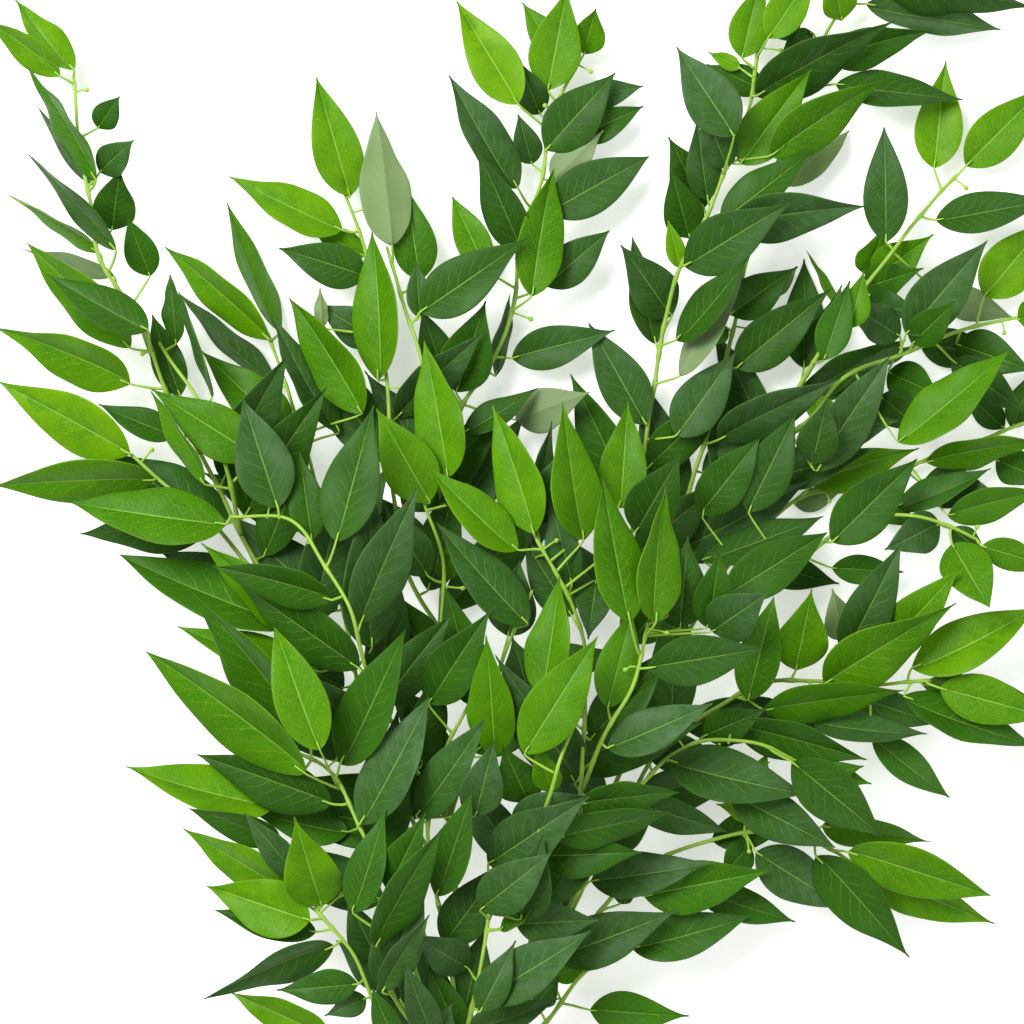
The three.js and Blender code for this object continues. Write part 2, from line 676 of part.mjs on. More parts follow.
function boxesMeet(a, b) {
  return a[0] < b[2] && b[0] < a[2] && a[1] < b[3] && b[1] < a[3] && a[4] < b[5] && b[4] < a[5];
}

// Whether a solid meets anything laid so far, apart from what skip names.
function meetsLaid(solid, skip = () => false) {
  const box = boxOf(solid);
  return laid.some(
    (other) => !skip(other) && boxesMeet(box, other.box) && solid.intersect(other.solid).volume() > 1e-4,
  );
}

// The volume in which a solid crosses what is laid of the other branches.
function crossingLaid(solid, branchName) {
  const box = boxOf(solid);
  let volume = 0;
  for (const other of laid) {
    const apart = other.owner === branchName || !boxesMeet(box, other.box);
    if (!apart) volume += solid.intersect(other.solid).volume();
  }
  return volume;
}

// The ways to lay a leaf, the least forced first: how far its base is lifted and how much further it is
// tilted up.
const WAYS_TO_LAY = [];
for (const lift of [0, 2, 4, 7, 10, 14, 18, 23, 28, 34, 42, 52, 64, 80]) {
  for (const step of [0, 4, 8, 12, 16, 21, 26, 32]) {
    WAYS_TO_LAY.push({ lift, step, cost: lift + 0.7 * step });
  }
}
WAYS_TO_LAY.sort((a, b) => a.cost - b.cost);

// Finds the way to lay a leaf that is clear of all before it: its rings, or null where there is no room.
function layLeaf(leaf, baseHeight, largestLift, isFree = () => true) {
  const liking = leaf.steep > 0.3 ? THREE.MathUtils.radToDeg(leaf.steep) : -14 + 18 * leaf.wish;
  for (const { lift, step } of WAYS_TO_LAY) {
    if (lift > largestLift) continue;
    const tilt = THREE.MathUtils.degToRad(Math.min(liking + step, LARGEST_TILT + 6));
    const rings = bladeRings(leaf, baseHeight + lift, tilt);
    const lowest = Math.min(rings.tip.z, ...rings.sections.flat().map((point) => point.z));
    if (lowest > 0.3 && !meetsLaid(skyOverBlade(leaf, rings)) && isFree(rings)) return rings;
  }
  return null;
}

// Stems

// Places a stem's stations over what is already laid: no steeper than STEM_STEEPEST and clear of all below.
function layStem(stations, radius, branch) {
  const joined = ["main_stem", branch.joins];
  const clearOfSegment = (a, b, r) => {
    const across = UP.clone().cross(b.clone().sub(a)).setLength(r + 0.5);
    const low = new THREE.Vector3(0, 0, -r - 0.6);
    const ring = (p) => [
      p.clone().sub(across).add(SKY),
      p.clone().add(across).add(SKY),
      p.clone().add(across).add(low),
      p.clone().sub(across).add(low),
    ];
    const isJoinedStem = (other) => other.isStem && joined.includes(other.owner);
    return !meetsLaid(solidOf(loft([ring(a), ring(b)])), isJoinedStem);
  };
  const placedStations = () => stations.map((s) => placed(s.x, s.y, s.z));
  const last = stations.length - 1;
  for (let pass = 0; pass < 80; pass++) {
    let moved = false;
    const points = placedStations();
    for (let i = 0; i + 1 < stations.length; i++) {
      const end = i + 1 < last ? points[i + 1] : points[last].clone().lerp(points[i], JOINT_SHARE);
      if (!clearOfSegment(points[i], end, radius(i))) {
        for (const k of [i, i + 1]) if (k < last) stations[k].z += 1.5;
        moved = true;
      }
    }
    for (const order of [1, -1]) {
      for (let n = 1; n < stations.length; n++) {
        const i = order > 0 ? n : stations.length - 1 - n;
        const j = i - order;
        if (i === last) continue;
        const way = Math.hypot(stations[i].x - stations[j].x, stations[i].y - stations[j].y);
        const least = stations[j].z - STEM_STEEPEST * way;
        if (least > stations[i].z + 1e-6) stations[i].z = least;
      }
    }
    if (!moved) return placedStations();
  }
  throw new Error(branch.name + ": its stem finds no way over what lies under it");
}

function tubeRings(points, radius, sides) {
  return points.map((point, i) => {
    const next = points[Math.min(i + 1, points.length - 1)];
    const along = next.clone().sub(points[Math.max(i - 1, 0)]).normalize();
    const across = UP.clone().cross(along).normalize();
    const upright = along.clone().cross(across);
    return Array.from({ length: sides }, (_, k) => {
      const angle = (2 * Math.PI * (k + 0.5)) / sides;
      return point
        .clone()
        .addScaledVector(across, -radius(i) * Math.cos(angle))
        .addScaledVector(upright, radius(i) * Math.sin(angle));
    });
  });
}

// The main stem rests on the surface along a narrow flat, which its own weight has pressed level at z = 0.
function mainStem(extra = 0) {
  const toFlatSide = Math.cos(Math.PI / MAIN_STEM_SIDES);
  const centres = MAIN_STEM.map(([x, y, r]) => new THREE.Vector3(x, y, toFlatSide * r - MAIN_STEM_FLAT));
  const curve = new THREE.CatmullRomCurve3(centres);
  const steps = 9;
  const points = curve.getPoints(steps);
  const radius = (i) => {
    const place = (i / steps) * (MAIN_STEM.length - 1);
    const low = Math.min(Math.floor(place), MAIN_STEM.length - 2);
    return THREE.MathUtils.lerp(MAIN_STEM[low][2], MAIN_STEM[low + 1][2], place - low) + extra;
  };
  const whole = solidOf(loft(tubeRings(points, radius, MAIN_STEM_SIDES)));
  if (extra) return whole;
  const under = new THREE.BoxGeometry(400, 400, 40);
  under.deleteAttribute("normal");
  under.deleteAttribute("uv");
  under.translate(0, -380, -20);
  return whole.subtract(solidOf(under));
}

// Where a branch leaves the main stem: on its left, its right or its top, each one further down than the
// last.
function jointOnMainStem(turn, x) {
  const y = FIRST_JOINT_Y - JOINT_SPACING * turn;
  const above = MAIN_STEM.findIndex(([, stationY]) => stationY > y);
  const [low, high] = [MAIN_STEM[above - 1], MAIN_STEM[above]];
  const share = (y - low[1]) / (high[1] - low[1]);
  const centre = THREE.MathUtils.lerp(low[0], high[0], share);
  const radius = THREE.MathUtils.lerp(low[2], high[2], share);
  const lean = THREE.MathUtils.clamp((x - centre) / 30, -1, 1);
  return new THREE.Vector3(centre + 0.5 * radius * lean, y, radius * 1.1);
}

// Where a side branch leaves the one it joins: a little further down that stem than its own end.
function jointOnBranch(parent, [x, y]) {
  const near = nearestOnStem(parent, placed(x, y, 0), true);
  const further = (SIDE_JOINT_SLOPE * near.distance) / STEM_STEP;
  const joint = onStem(parent, Math.min(near.reach + further, parent.length - 1.2));
  joint.z += 0.6;
  const share = (EYE_HEIGHT - joint.z) / (EYE_HEIGHT - PLAN_HEIGHT);
  return new THREE.Vector3(joint.x / share, joint.y / share, joint.z);
}

// The stations of a stem from its tip to its joint, in plan and with the heights it would like to have.
function stemStations(branch, n, joint) {
  const route = branch.stem.map(([x, y]) => new THREE.Vector3(x, y, 0));
  route.push(new THREE.Vector3(joint.x, joint.y, 0));
  const curve = new THREE.CatmullRomCurve3(route, false, "centripetal");
  const length = curve.getLength();
  const count = Math.round(length / STEM_STEP);
  const level = FIRST_STEM_HEIGHT + HEIGHT_PER_BRANCH * n;
  const stations = curve.getSpacedPoints(count);
  stations.forEach((s, i) => {
    const rise = THREE.MathUtils.smoothstep(length * (1 - i / count), 0, STEM_RISE_LENGTH);
    s.z = THREE.MathUtils.lerp(Math.min(joint.z, level), level, rise);
  });
  stations[count].z = joint.z;
  return stations;
}

// The spot on a stem nearest to a place, in space or as seen in plan.
function nearestOnStem(points, place, inPlan = false) {
  const heights = points.map((point) => point.z);
  if (inPlan) points = points.map((point) => new THREE.Vector3(point.x, point.y, 0));
  let best = { distance: Infinity };
  for (let i = 0; i + 1 < points.length; i++) {
    const segment = new THREE.Line3(points[i], points[i + 1]);
    const share = segment.closestPointToPointParameter(place, true);
    const spot = segment.at(share, new THREE.Vector3());
    const distance = spot.distanceTo(place);
    const height = THREE.MathUtils.lerp(heights[i], heights[i + 1], share);
    if (distance < best.distance) best = { distance, spot, reach: i + share, height };
  }
  return best;
}

// Dark leaves under the bare lower part of a stem, left and right in turn, which fill the branch's inside.
function fillingLeaves(stations, branch, draw) {
  const reachOf = ([x, y]) => nearestOnStem(stations, new THREE.Vector3(x, y, 0), true).reach;
  const used = [...branch.under, ...branch.over].map(reachOf);
  const start = Math.max(...used) * STEM_STEP + FILL_SPACING;
  const end = (stations.length - 1) * STEM_STEP;
  const [from, to] = branch.fill ?? [FILL_FROM_Y, FILL_TO_Y];
  const rows = [];
  for (let place = start, turn = 0; place < end; place += FILL_SPACING, turn++) {
    const spot = onStem(stations, place / STEM_STEP);
    if (spot.y > from) continue;
    if (spot.y < to) break;
    const towards = onStem(stations, Math.max(0, place / STEM_STEP - 1)).sub(spot);
    const angle = Math.atan2(towards.y, towards.x) + (turn % 2 ? 1 : -1) * (0.5 + 0.5 * draw());
    const length = 56 + 22 * draw();
    const base = spot.clone().add(new THREE.Vector3(5 * Math.cos(angle), 5 * Math.sin(angle), 0));
    const tip = [base.x + length * Math.cos(angle), base.y + length * Math.sin(angle)];
    rows.push([base.x, base.y, ...tip, length * (0.32 + 0.06 * draw()), 1]);
  }
  return rows;
}

function onStem(points, reach) {
  const i = Math.min(Math.floor(reach), points.length - 2);
  return points[i].clone().lerp(points[i + 1], Math.min(reach - i, 1));
}

// A leaf from its root in the stem, over the bend where its petiole ends, to its tip. Only a petiole that
// turns far back is a bar of its own, with its end in the blade's foot.
function leafFromRoot(rings, neck, root, hasPetiole) {
  const along = rings.tip.clone().sub(neck).normalize();
  const start = rings.sections[0][0].clone().lerp(rings.sections[0][2], 0.5).sub(root);
  const blade = [...rings.sections, [rings.tip]];
  if (!hasPetiole && start.dot(along) > LEAST_START) return solidOf(loft([[root], ...blade]));
  const way = neck.clone().sub(root).normalize();
  if (way.dot(along) > FURTHEST_BACK) {
    const bend = along.clone().add(way).normalize();
    const bent = turnedRing(rings.neck, neck, along, bend, neck, 1);
    const foot = turnedRing(rings.neck, neck, along, way, root, PETIOLE_ROOT_SCALE);
    return solidOf(loft([foot, bent, ...blade]));
  }
  const end = neck.clone().addScaledVector(along, BAR_OVERLAP).addScaledVector(rings.upright, -BAR_SINK);
  const bar = [root, end].map((centre) => turnedRing(rings.neck, neck, along, way, centre, 1));
  return solidOf(loft([rings.neck, ...blade])).add(solidOf(loft(bar)));
}

// The ring about neck that faces along, turned to face way, scaled, and moved to a new centre.
function turnedRing(ring, neck, along, way, centre, scale) {
  const turn = new THREE.Quaternion().setFromUnitVectors(along, way);
  return ring.map((point) => {
    const out = point.clone().sub(neck).applyQuaternion(turn);
    return centre.clone().addScaledVector(out, scale);
  });
}

// Leaf and petiole as one solid whose root lies in the middle of the stem, where the petiole's way there is
// clear.
function leafSolid(rings, stem, branchName) {
  const neck = rings.neck[0].clone().lerp(rings.neck[2], 0.5);
  const near = nearestOnStem(stem, neck);
  const usual = near.reach + Math.min(0.5 * near.distance, 8) / STEM_STEP;
  let best = { crossing: Infinity };
  for (const further of PETIOLE_SHIFTS) {
    const reach = THREE.MathUtils.clamp(usual + further / STEM_STEP, 0.07, stem.length - 1.01);
    const root = onStem(stem, reach);
    const solid = leafFromRoot(rings, neck, root, near.distance > SHORTEST_PETIOLE);
    const crossing = crossingLaid(solid, branchName);
    if (crossing < best.crossing) best = { crossing, solid };
    if (crossing < 1e-4) break;
  }
  return best.crossing < 1e-4 ? best.solid : null;
}

function budSolid([x, y], stem) {
  const near = nearestOnStem(stem, placed(x, y, stem[0].z));
  let target = placed(x, y, near.spot.z + 2);
  const along = target.clone().sub(near.spot);
  if (along.length() < 5) target = near.spot.clone().addScaledVector(along.normalize(), 5);
  const middle = near.spot.clone().lerp(target, 0.7);
  const direction = target.clone().sub(near.spot).normalize();
  const across = UP.clone().cross(direction).normalize();
  const upright = direction.clone().cross(across);
  const ring = (centre, r) =>
    [0, 1, 2, 3].map((k) =>
      centre
        .clone()
        .addScaledVector(across, -r * Math.cos((k * Math.PI) / 2 + 0.4))
        .addScaledVector(upright, r * Math.sin((k * Math.PI) / 2 + 0.4)),
    );
  const end = target.clone().addScaledVector(direction, BUD_LENGTH / 2);
  return solidOf(loft([ring(near.spot, 0.6), ring(middle, 0.7), ring(target, BUD_RADIUS), [end]]));
}

const GREEN = new THREE.Color().setRGB(0.09, 0.26, 0.035);
const BARK = new THREE.Color().setRGB(0.2, 0.24, 0.06);
const leafMaterial = new THREE.MeshStandardMaterial({ color: GREEN, roughness: 0.45, metalness: 0 });
const barkMaterial = new THREE.MeshStandardMaterial({ color: BARK, roughness: 0.7, metalness: 0 });

function meshOf(name, solid, material) {
  const mesh = new THREE.Mesh(geometryOf(solid), material);
  mesh.name = name;
  return mesh;
}

const plant = new THREE.Group();
const stalk = mainStem();
lay(stalk, "main_stem", true);
plant.add(meshOf("main_stem", stalk, barkMaterial));

// Lays the leaves below a stem, then the stem over them, and then its other leaves and its buds.
function layBranch(branch, stations, radius, draw) {
  const heightBy = (points, leaf) => nearestOnStem(points, placed(...leaf.base, 0), true).height;
  const preview = layStem(stations, radius, branch);
  const under = [];
  for (const row of [...fillingLeaves(stations, branch, draw), ...branch.under]) {
    const leaf = leafShape(row, draw, true);
    const rings = layLeaf(leaf, Math.max(2, heightBy(preview, leaf) - 5), LARGEST_LIFT_UNDER);
    if (!rings) continue;
    lay(solidOf(loft([rings.neck, ...rings.sections, [rings.tip]])), branch.name);
    under.push(rings);
  }

  const stem = layStem(stations, radius, branch);
  const stemSolid = solidOf(loft(tubeRings(stem, radius, STEM_SIDES)));
  lay(stemSolid, branch.name, true);
  const parts = [stemSolid];
  const add = (solid) => {
    if (!solid) return;
    lay(solid, branch.name);
    parts.push(solid);
  };
  for (const rings of under) add(leafSolid(rings, stem, branch.name));
  for (const row of branch.over) {
    const leaf = leafShape(row, draw, false);
    const isFree = (rings) => leafSolid(rings, stem, branch.name);
    const rings = layLeaf(leaf, heightBy(stem, leaf) + 3, LARGEST_LIFT_OVER, isFree);
    if (rings) add(leafSolid(rings, stem, branch.name));
  }
  for (const bud of branch.buds) {
    const nub = budSolid(bud, stem);
    if (crossingLaid(nub, branch.name) < 1e-4) add(nub);
  }
  return { stem, parts };
}

// A branch that joins another one is part of the same spray, and a spray is one solid.
const stems = new Map();
const sprays = new Map();
BRANCHES.forEach((branch, n) => {
  const draw = drawsFrom(101 + 17 * n);
  const parent = stems.get(branch.joins);
  const end = branch.stem[branch.stem.length - 1];
  const joint = parent ? jointOnBranch(parent.stem, end) : jointOnMainStem(sprays.size, end[0]);
  const stations = stemStations(branch, n, joint);
  const footRadius = parent ? SIDE_STEM_FOOT_RADIUS : STEM_FOOT_RADIUS;
  const radius = (i) => THREE.MathUtils.lerp(STEM_TIP_RADIUS, footRadius, i / (stations.length - 1));
  const { stem, parts } = layBranch(branch, stations, radius, draw);
  const spray = parent ? parent.spray : branch.name;
  stems.set(branch.name, { stem, spray });
  sprays.set(spray, [...(sprays.get(spray) ?? []), ...parts]);
});

const stalkRoom = mainStem(JOINT_GAP);
for (const [name, parts] of sprays) {
  const joined = parts.slice(1).reduce((sum, part) => sum.add(part), parts[0]);
  const cut = joined.subtract(stalkRoom).decompose();
  cut.sort((a, b) => b.volume() - a.volume());
  plant.add(meshOf("spray_" + name, cut[0], leafMaterial));
}

const extent = new THREE.Box3().setFromObject(plant);
const middle = extent.getCenter(new THREE.Vector3());
plant.position.set(-middle.x, -middle.y, 0);

export default plant;
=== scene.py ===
import json
import math
import random
from collections import Counter
from itertools import combinations, product

import bmesh
import bpy
from mathutils import Matrix, Vector, kdtree, noise

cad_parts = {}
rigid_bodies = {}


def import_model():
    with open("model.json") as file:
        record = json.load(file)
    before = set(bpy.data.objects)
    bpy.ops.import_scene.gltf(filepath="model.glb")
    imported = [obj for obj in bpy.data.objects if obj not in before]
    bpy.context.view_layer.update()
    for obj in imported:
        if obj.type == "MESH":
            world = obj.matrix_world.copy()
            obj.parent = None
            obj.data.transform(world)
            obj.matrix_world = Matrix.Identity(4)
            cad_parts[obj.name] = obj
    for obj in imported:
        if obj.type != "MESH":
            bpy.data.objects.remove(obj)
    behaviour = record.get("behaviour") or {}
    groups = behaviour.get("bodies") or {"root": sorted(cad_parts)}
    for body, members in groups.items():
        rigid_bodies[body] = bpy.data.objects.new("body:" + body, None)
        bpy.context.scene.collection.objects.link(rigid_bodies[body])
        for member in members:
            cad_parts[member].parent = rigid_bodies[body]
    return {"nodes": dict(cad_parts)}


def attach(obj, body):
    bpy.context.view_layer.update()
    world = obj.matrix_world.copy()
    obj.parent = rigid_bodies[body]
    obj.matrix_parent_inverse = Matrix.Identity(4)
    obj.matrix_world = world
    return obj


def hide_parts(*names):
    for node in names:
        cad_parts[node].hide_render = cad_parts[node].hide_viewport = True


for leftover in list(bpy.data.objects):
    bpy.data.objects.remove(leftover)
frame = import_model()
bpy.context.view_layer.update()
MM = 0.001
SEED = 20

# The view: straight down on the bunch, from the height and over the place that its plan was laid out for.
EYE = Vector((-5.025 * MM, 93.088 * MM, 1.650))
PHOTO_WIDTH_AT_BUNCH = 0.512
BUNCH_HEIGHT = 0.050
SENSOR_WIDTH = 36

# Blades. Across a blade, -1 and 1 are its margins and 0 is its midrib. Its direction at a place is that of
# its middle line from a little before the place to a little after it.
HALF_COLUMNS = [0.045, 0.13, 0.3, 0.54, 0.78, 0.95, 1]
BLADE_COLUMNS = [-u for u in reversed(HALF_COLUMNS)] + [0] + HALF_COLUMNS
BLADE_ROWS = 24
BLADE_THICKNESS = 0.4 * MM
BLADE_END_HALF_WIDTH = 0.5 * MM
BROADEST_AT = 0.39
BASE_FULLNESS = 0.74
MIDRIB_WIDTH = 0.55 * MM
MIDRIB_GROOVE = 0.22 * MM
MIDRIB_RIDGE = 0.34 * MM
FOLD_SHARPNESS = 1.2
BLADE_CAMBER = 0.05
LARGEST_TWIST = 0.42
LOWEST_BLADE = 0.6 * MM
A_LITTLE = 0.02

# Between which two values each blade's own one is drawn.
FULLNESS = (0.94, 1.1)
POINTEDNESS = (1.08, 1.35)
BLADE_FOLD = (0.08, 0.26)
MARGIN_WAVE = (0.3 * MM, 1.2 * MM)
WAVES_ALONG = (1.3, 2.6)
WAVE_START = (0, 6)

# Petioles: how far into the blade they reach, where they bend, and how they thin from the stem on.
PETIOLE_RADIUS = 0.56 * MM
PETIOLE_END = 0.07
PETIOLE_BEND, PETIOLE_LEAD = 0.3, 0.6
PETIOLE_STATIONS = 10
PETIOLE_FLARE, PETIOLE_TAPER = 1.35, 0.5
NECK_START, NECK_TAPER = 0.7, 0.6
ROOT_REACH = 2.8 * MM

# Buds: shares of the length from stalk to tip, and the radius at each in millimetres.
BUD_SHARES = [0.0, 0.25, 0.45, 0.58, 0.72, 0.86, 0.96, 1.0]
BUD_RADII = [0.5, 0.5, 0.62, 1.05, 1.3, 1.05, 0.55, 0.15]
BUD_STALK_RADII, BUD_START = [0.6, 0.5], 0.2

# Stems. How woody a twig is goes from 0 at its tip to 1 at its foot, and what is below 0 is greener.
# A tube's first ring is turned after a direction that no stem has.
STEM_STATION = 2 * MM
STEM_SLIMNESS = 0.73
STEM_WANDER, WANDER_SCALE = 1.3 * MM, 38
STEM_SIDES, STALK_SIDES = 10, 8
STEM_POINT_LENGTH, STEM_POINT_RADIUS = 1.2 * MM, 0.4
NODE_SWELLING, NODE_LENGTH = 0.35, 1.7 * MM
TUBE_START = Vector((0.31, 0.17, 1))
PETIOLE_WOOD, BUD_WOOD = -0.15, -0.3

# The main stem.
BARK_STATIONS, BARK_SIDES = 130, 36
BARK_RELIEF = 0.035
RIDGE_WIDTHS, RIDGE_LENGTHS = 2.2, 14
OLD_SHOOT_SPACING, OLD_SHOOT_LENGTH = 27 * MM, 1.6 * MM
CUT_RINGS, CUT_EDGE = (0.97, 0.75, 0.5, 0.25), 1.05


def srgb(red, green, blue):
    return tuple(((c / 255 + 0.055) / 1.055) ** 2.4 for c in (red, green, blue)) + (1.0,)


LEAF_GREENS = [
    (0.0, srgb(112, 162, 0)),
    (0.3, srgb(77, 132, 0)),
    (0.62, srgb(48, 103, 2)),
    (1.0, srgb(32, 74, 6)),
]
UNDERSIDE_GREENS = [(0.0, srgb(124, 160, 66)), (1.0, srgb(122, 144, 100))]
PALE_VEIN = srgb(150, 192, 30)
RIB_GREEN = srgb(160, 204, 92)
# A painted sheen: the grey-green that old leaves are lightened towards, where the light's soft reflection
# would show on them.
PAINTED_SHEEN = srgb(102, 134, 100)
DEEP_GREEN = srgb(40, 112, 14)
TWIG_GREENS = [(0.0, srgb(158, 204, 64)), (0.5, srgb(136, 174, 56)), (1.0, srgb(108, 112, 48))]
BARK_BROWNS = [(0.2, srgb(74, 66, 38)), (0.5, srgb(112, 106, 60)), (0.8, srgb(150, 142, 92))]
CUT_WOOD = [(0.0, srgb(214, 208, 160)), (1.0, srgb(176, 168, 112))]
FLOOR_WHITES = (srgb(250, 250, 250), srgb(246, 246, 247))

# Materials: scales of their patterns, and places across a leaf, from 0 at the midrib to 1 at the margin.
NOISE_ROUGHNESS = 0.55
BLOTCH_SCALE, WARP_SCALE, NET_SCALE = 55.0, 160.0, 620.0
VEINS_ALONG, VEIN_SLANT, VEIN_WIDTH = 10.0, 2.2, 0.055
VEIN_FADE = (0.35, 0.9)
RIB_EDGE = (0.006, 0.036)
YOUNG_AGES = (0.15, 0.8)
MARGIN_EDGE = (0.93, 1.0)
NET_WIDTH = 0.12
VEIN_DEPTH, TWIG_GRAIN_DEPTH, BARK_DEPTH = 0.2 * MM, 0.3 * MM, 0.6 * MM
LEAF_GLOSS = 0.11
TWIG_BLOTCH_SCALE, TWIG_GRAIN_SCALE = 140.0, 500.0
STREAK_SCALE, STREAK_STRETCH, BARK_BLOTCH_SCALE = 420.0, (1.0, 0.12, 1.0), 60.0
GROWTH_RINGS = 5.0

# The studio.
FLOOR_REACH, FLOOR_DROP, FLOOR_GLOW = 3, 0.3 * MM, 0.42
WORLD_LIGHT = 0.44
KEY_PLACE, KEY_SIZE, KEY_POWER = (-1.0, 1.0, 1.9), 1.2, 64
FILL_PLACE, FILL_SIZE, FILL_POWER = (1.3, -0.5, 1.7), 1.6, 12

# How the solids are made. A blade's sections come from its tip back, each with its share of the length and
# its share of the greatest width. Its middle line rises in an arch of so much of its length.
BLADE_LAYOUTS = [
    [(0.74, 0.56), (0.43, 1.0), (0.17, 0.8)],
    [(0.64, 0.74), (0.26, 0.96)],
]
LOWEST_ARCH, USUAL_ARCH, HIGHEST_ARCH = 0.11, 0.24, 0.37
YOUNG_KEEL, OLD_KEEL = 0.8 * MM, 1.3 * MM
NARROWEST_BLADE, LONGEST_BLADE_END = 4 * MM, 36 * MM
NECK_REACH = 2.2 * MM
BUD_RING_RADIUS = 1.5 * MM
STEM_TIP_RADIUS, STEM_FOOT_RADIUS, SIDE_STEM_FOOT_RADIUS = 1.15 * MM, 2.1 * MM, 1.7 * MM
STEM_RING_SIDES, CELL_SIZE = (1.6 * MM, 3.1 * MM), 4 * MM
STEM_RING_SPACING = 12 * MM
MAIN_STEM_SIDES = 8
MAIN_STEM_RING_SPACING = 6 * MM

# How far what is read may be off. Where it isn't in MM, it is a share or a cosine.
SAME_CORNER = 0.002 * MM
READING_ERROR = 0.02 * MM
CORNER_ERROR = 0.04 * MM
ARCH_SEARCH = 0.045
BUD_RING_ERROR = 0.05
TIP_ASKEW = 0.3
LEVEL_ERROR, SIDE_ERROR, SQUARE_ERROR = 0.003 * MM, 0.004 * MM, 0.004
SAME_RING = 0.2 * MM
LEAST_THICKENING, STEP_ERROR = 0.001 * MM, 0.015 * MM
FOOT_ERROR, TIP_ERROR = 0.01 * MM, 0.1 * MM

# Where leaves hide a stem's rings: how many in a row, and how far off its course the next one may be.
MISSED_RINGS, MISSED_SWERVE, TIP_SWERVE = 3, 16 * MM, 30 * MM


# Smooth runs


def curve(knots, values):
    """A smooth run through the values, which may be numbers or vectors."""

    def slope(i):
        low, high = max(i - 1, 0), min(i + 1, len(knots) - 1)
        return (values[high] - values[low]) / (knots[high] - knots[low])

    def at(t):
        i = max([k for k in range(len(knots) - 1) if knots[k] <= t] or [0])
        step = knots[i + 1] - knots[i]
        u = (t - knots[i]) / step
        ends = values[i] * (2 * u**3 - 3 * u**2 + 1) + values[i + 1] * (3 * u**2 - 2 * u**3)
        return ends + (slope(i) * (u**3 - 2 * u**2 + u) + slope(i + 1) * (u**3 - u**2)) * step

    return at


def reaches(points):
    """How far along the run of points each one is."""
    total = [0.0]
    for a, b in zip(points, points[1:]):
        total.append(total[-1] + (b - a).length)
    return total


def mean(points):
    return sum(points, Vector()) / len(points)


# Reading the solids


def points_and_links(node):
    """A solid's corners, and for each one the corners that its edges lead to."""
    solid = bmesh.new()
    solid.from_mesh(frame["nodes"][node].data)
    bmesh.ops.remove_doubles(solid, verts=solid.verts, dist=SAME_CORNER)
    solid.verts.index_update()
    points = [v.co.copy() for v in solid.verts]
    links = [[e.other_vert(v).index for e in v.link_edges] for v in solid.verts]
    solid.free()
    return points, links


def ends_of(points, ring):
    """The two margins of a three-cornered section, and then its keel."""
    pairs = [(points[ring[i]] - points[ring[i - 1]]).length for i in range(3)]
    widest = pairs.index(max(pairs))
    keel = ring[(widest + 1) % 3]
    return points[ring[widest]], points[ring[widest - 1]], points[keel]


def is_three_ring(links, ring):
    """Whether there are three corners, each joined to the other two."""
    return len(ring) == 3 and all(set(ring) - {a} <= set(links[a]) for a in ring)


def beyond(links, ring, before):
    """The corners that a ring's edges lead to, without those that come before it."""
    return sorted({b for a in ring for b in links[a]} - set(before) - set(ring))


def search_tree(points):
    """A tree in which the corners are found by their place."""
    tree = kdtree.KDTree(len(points))
    for i, point in enumerate(points):
        tree.insert(point, i)
    tree.balance()
    return tree


def near_ends(points, tip, ring):
    """A blade's last section, as its half width, depth and middle, or nothing if it isn't one."""
    left, right, keel = ends_of(points, ring)
    middle = (left + right) / 2
    side, face = (left - right) / 2, middle - keel
    is_level = abs(side.dot(face)) < READING_ERROR * side.length
    is_deep = YOUNG_KEEL - READING_ERROR < face.length < OLD_KEEL + READING_ERROR
    if 2 * side.length < NARROWEST_BLADE or not is_level or not is_deep:
        return None
    if (points[tip] - middle).cross(side).dot(face) < 0:
        side = -side
    return side, face, middle


def blade_base(corner, offset, known, layout):
    """The blade's foot and arch, if the corner fits the section next to the one that is known."""
    tip, above, steep = known
    (share, _), (next_share, _) = layout[:2]
    drop = above.lerp(tip, next_share) - (corner - offset)
    rise = drop / ((1 - next_share) * (share - next_share))
    base = above - rise * share
    along = tip - base
    off = max(abs(drop.dot(steep)), abs(drop.dot(along)) / along.length)
    fits = off < READING_ERROR and LOWEST_ARCH < rise.length / along.length < HIGHEST_ARCH
    return (base, rise) if fits and rise.z > 0 else None


def fit_blade(tree, tip, ends, layout):
    """The blade's foot and arch by which most corners of the next section are found, and how many."""
    side, face, middle = ends
    (share, width), (next_share, next_width) = layout[:2]
    above = (middle - tip * share) / (1 - share)
    steep = (tip - above).cross(Vector((0, 0, 1))).normalized()
    rise = steep.cross(tip - above) * USUAL_ARCH
    next_middle = above.lerp(tip, next_share) - rise * (1 - next_share) * (share - next_share)
    offsets = (side * next_width / width, -side * next_width / width, -face)
    best = (0, None)
    for offset in offsets:
        for corner, _, _ in tree.find_range(next_middle + offset, ARCH_SEARCH * (tip - above).length):
            found = blade_base(corner, offset, (tip, above, steep), layout)
            if not found:
                continue
            base, rise = found
            centre = base.lerp(tip, next_share) + rise * next_share * (1 - next_share)
            count = sum(tree.find(centre + other)[2] < CORNER_ERROR for other in offsets)
            if count > best[0]:
                best = (count, found)
    return best


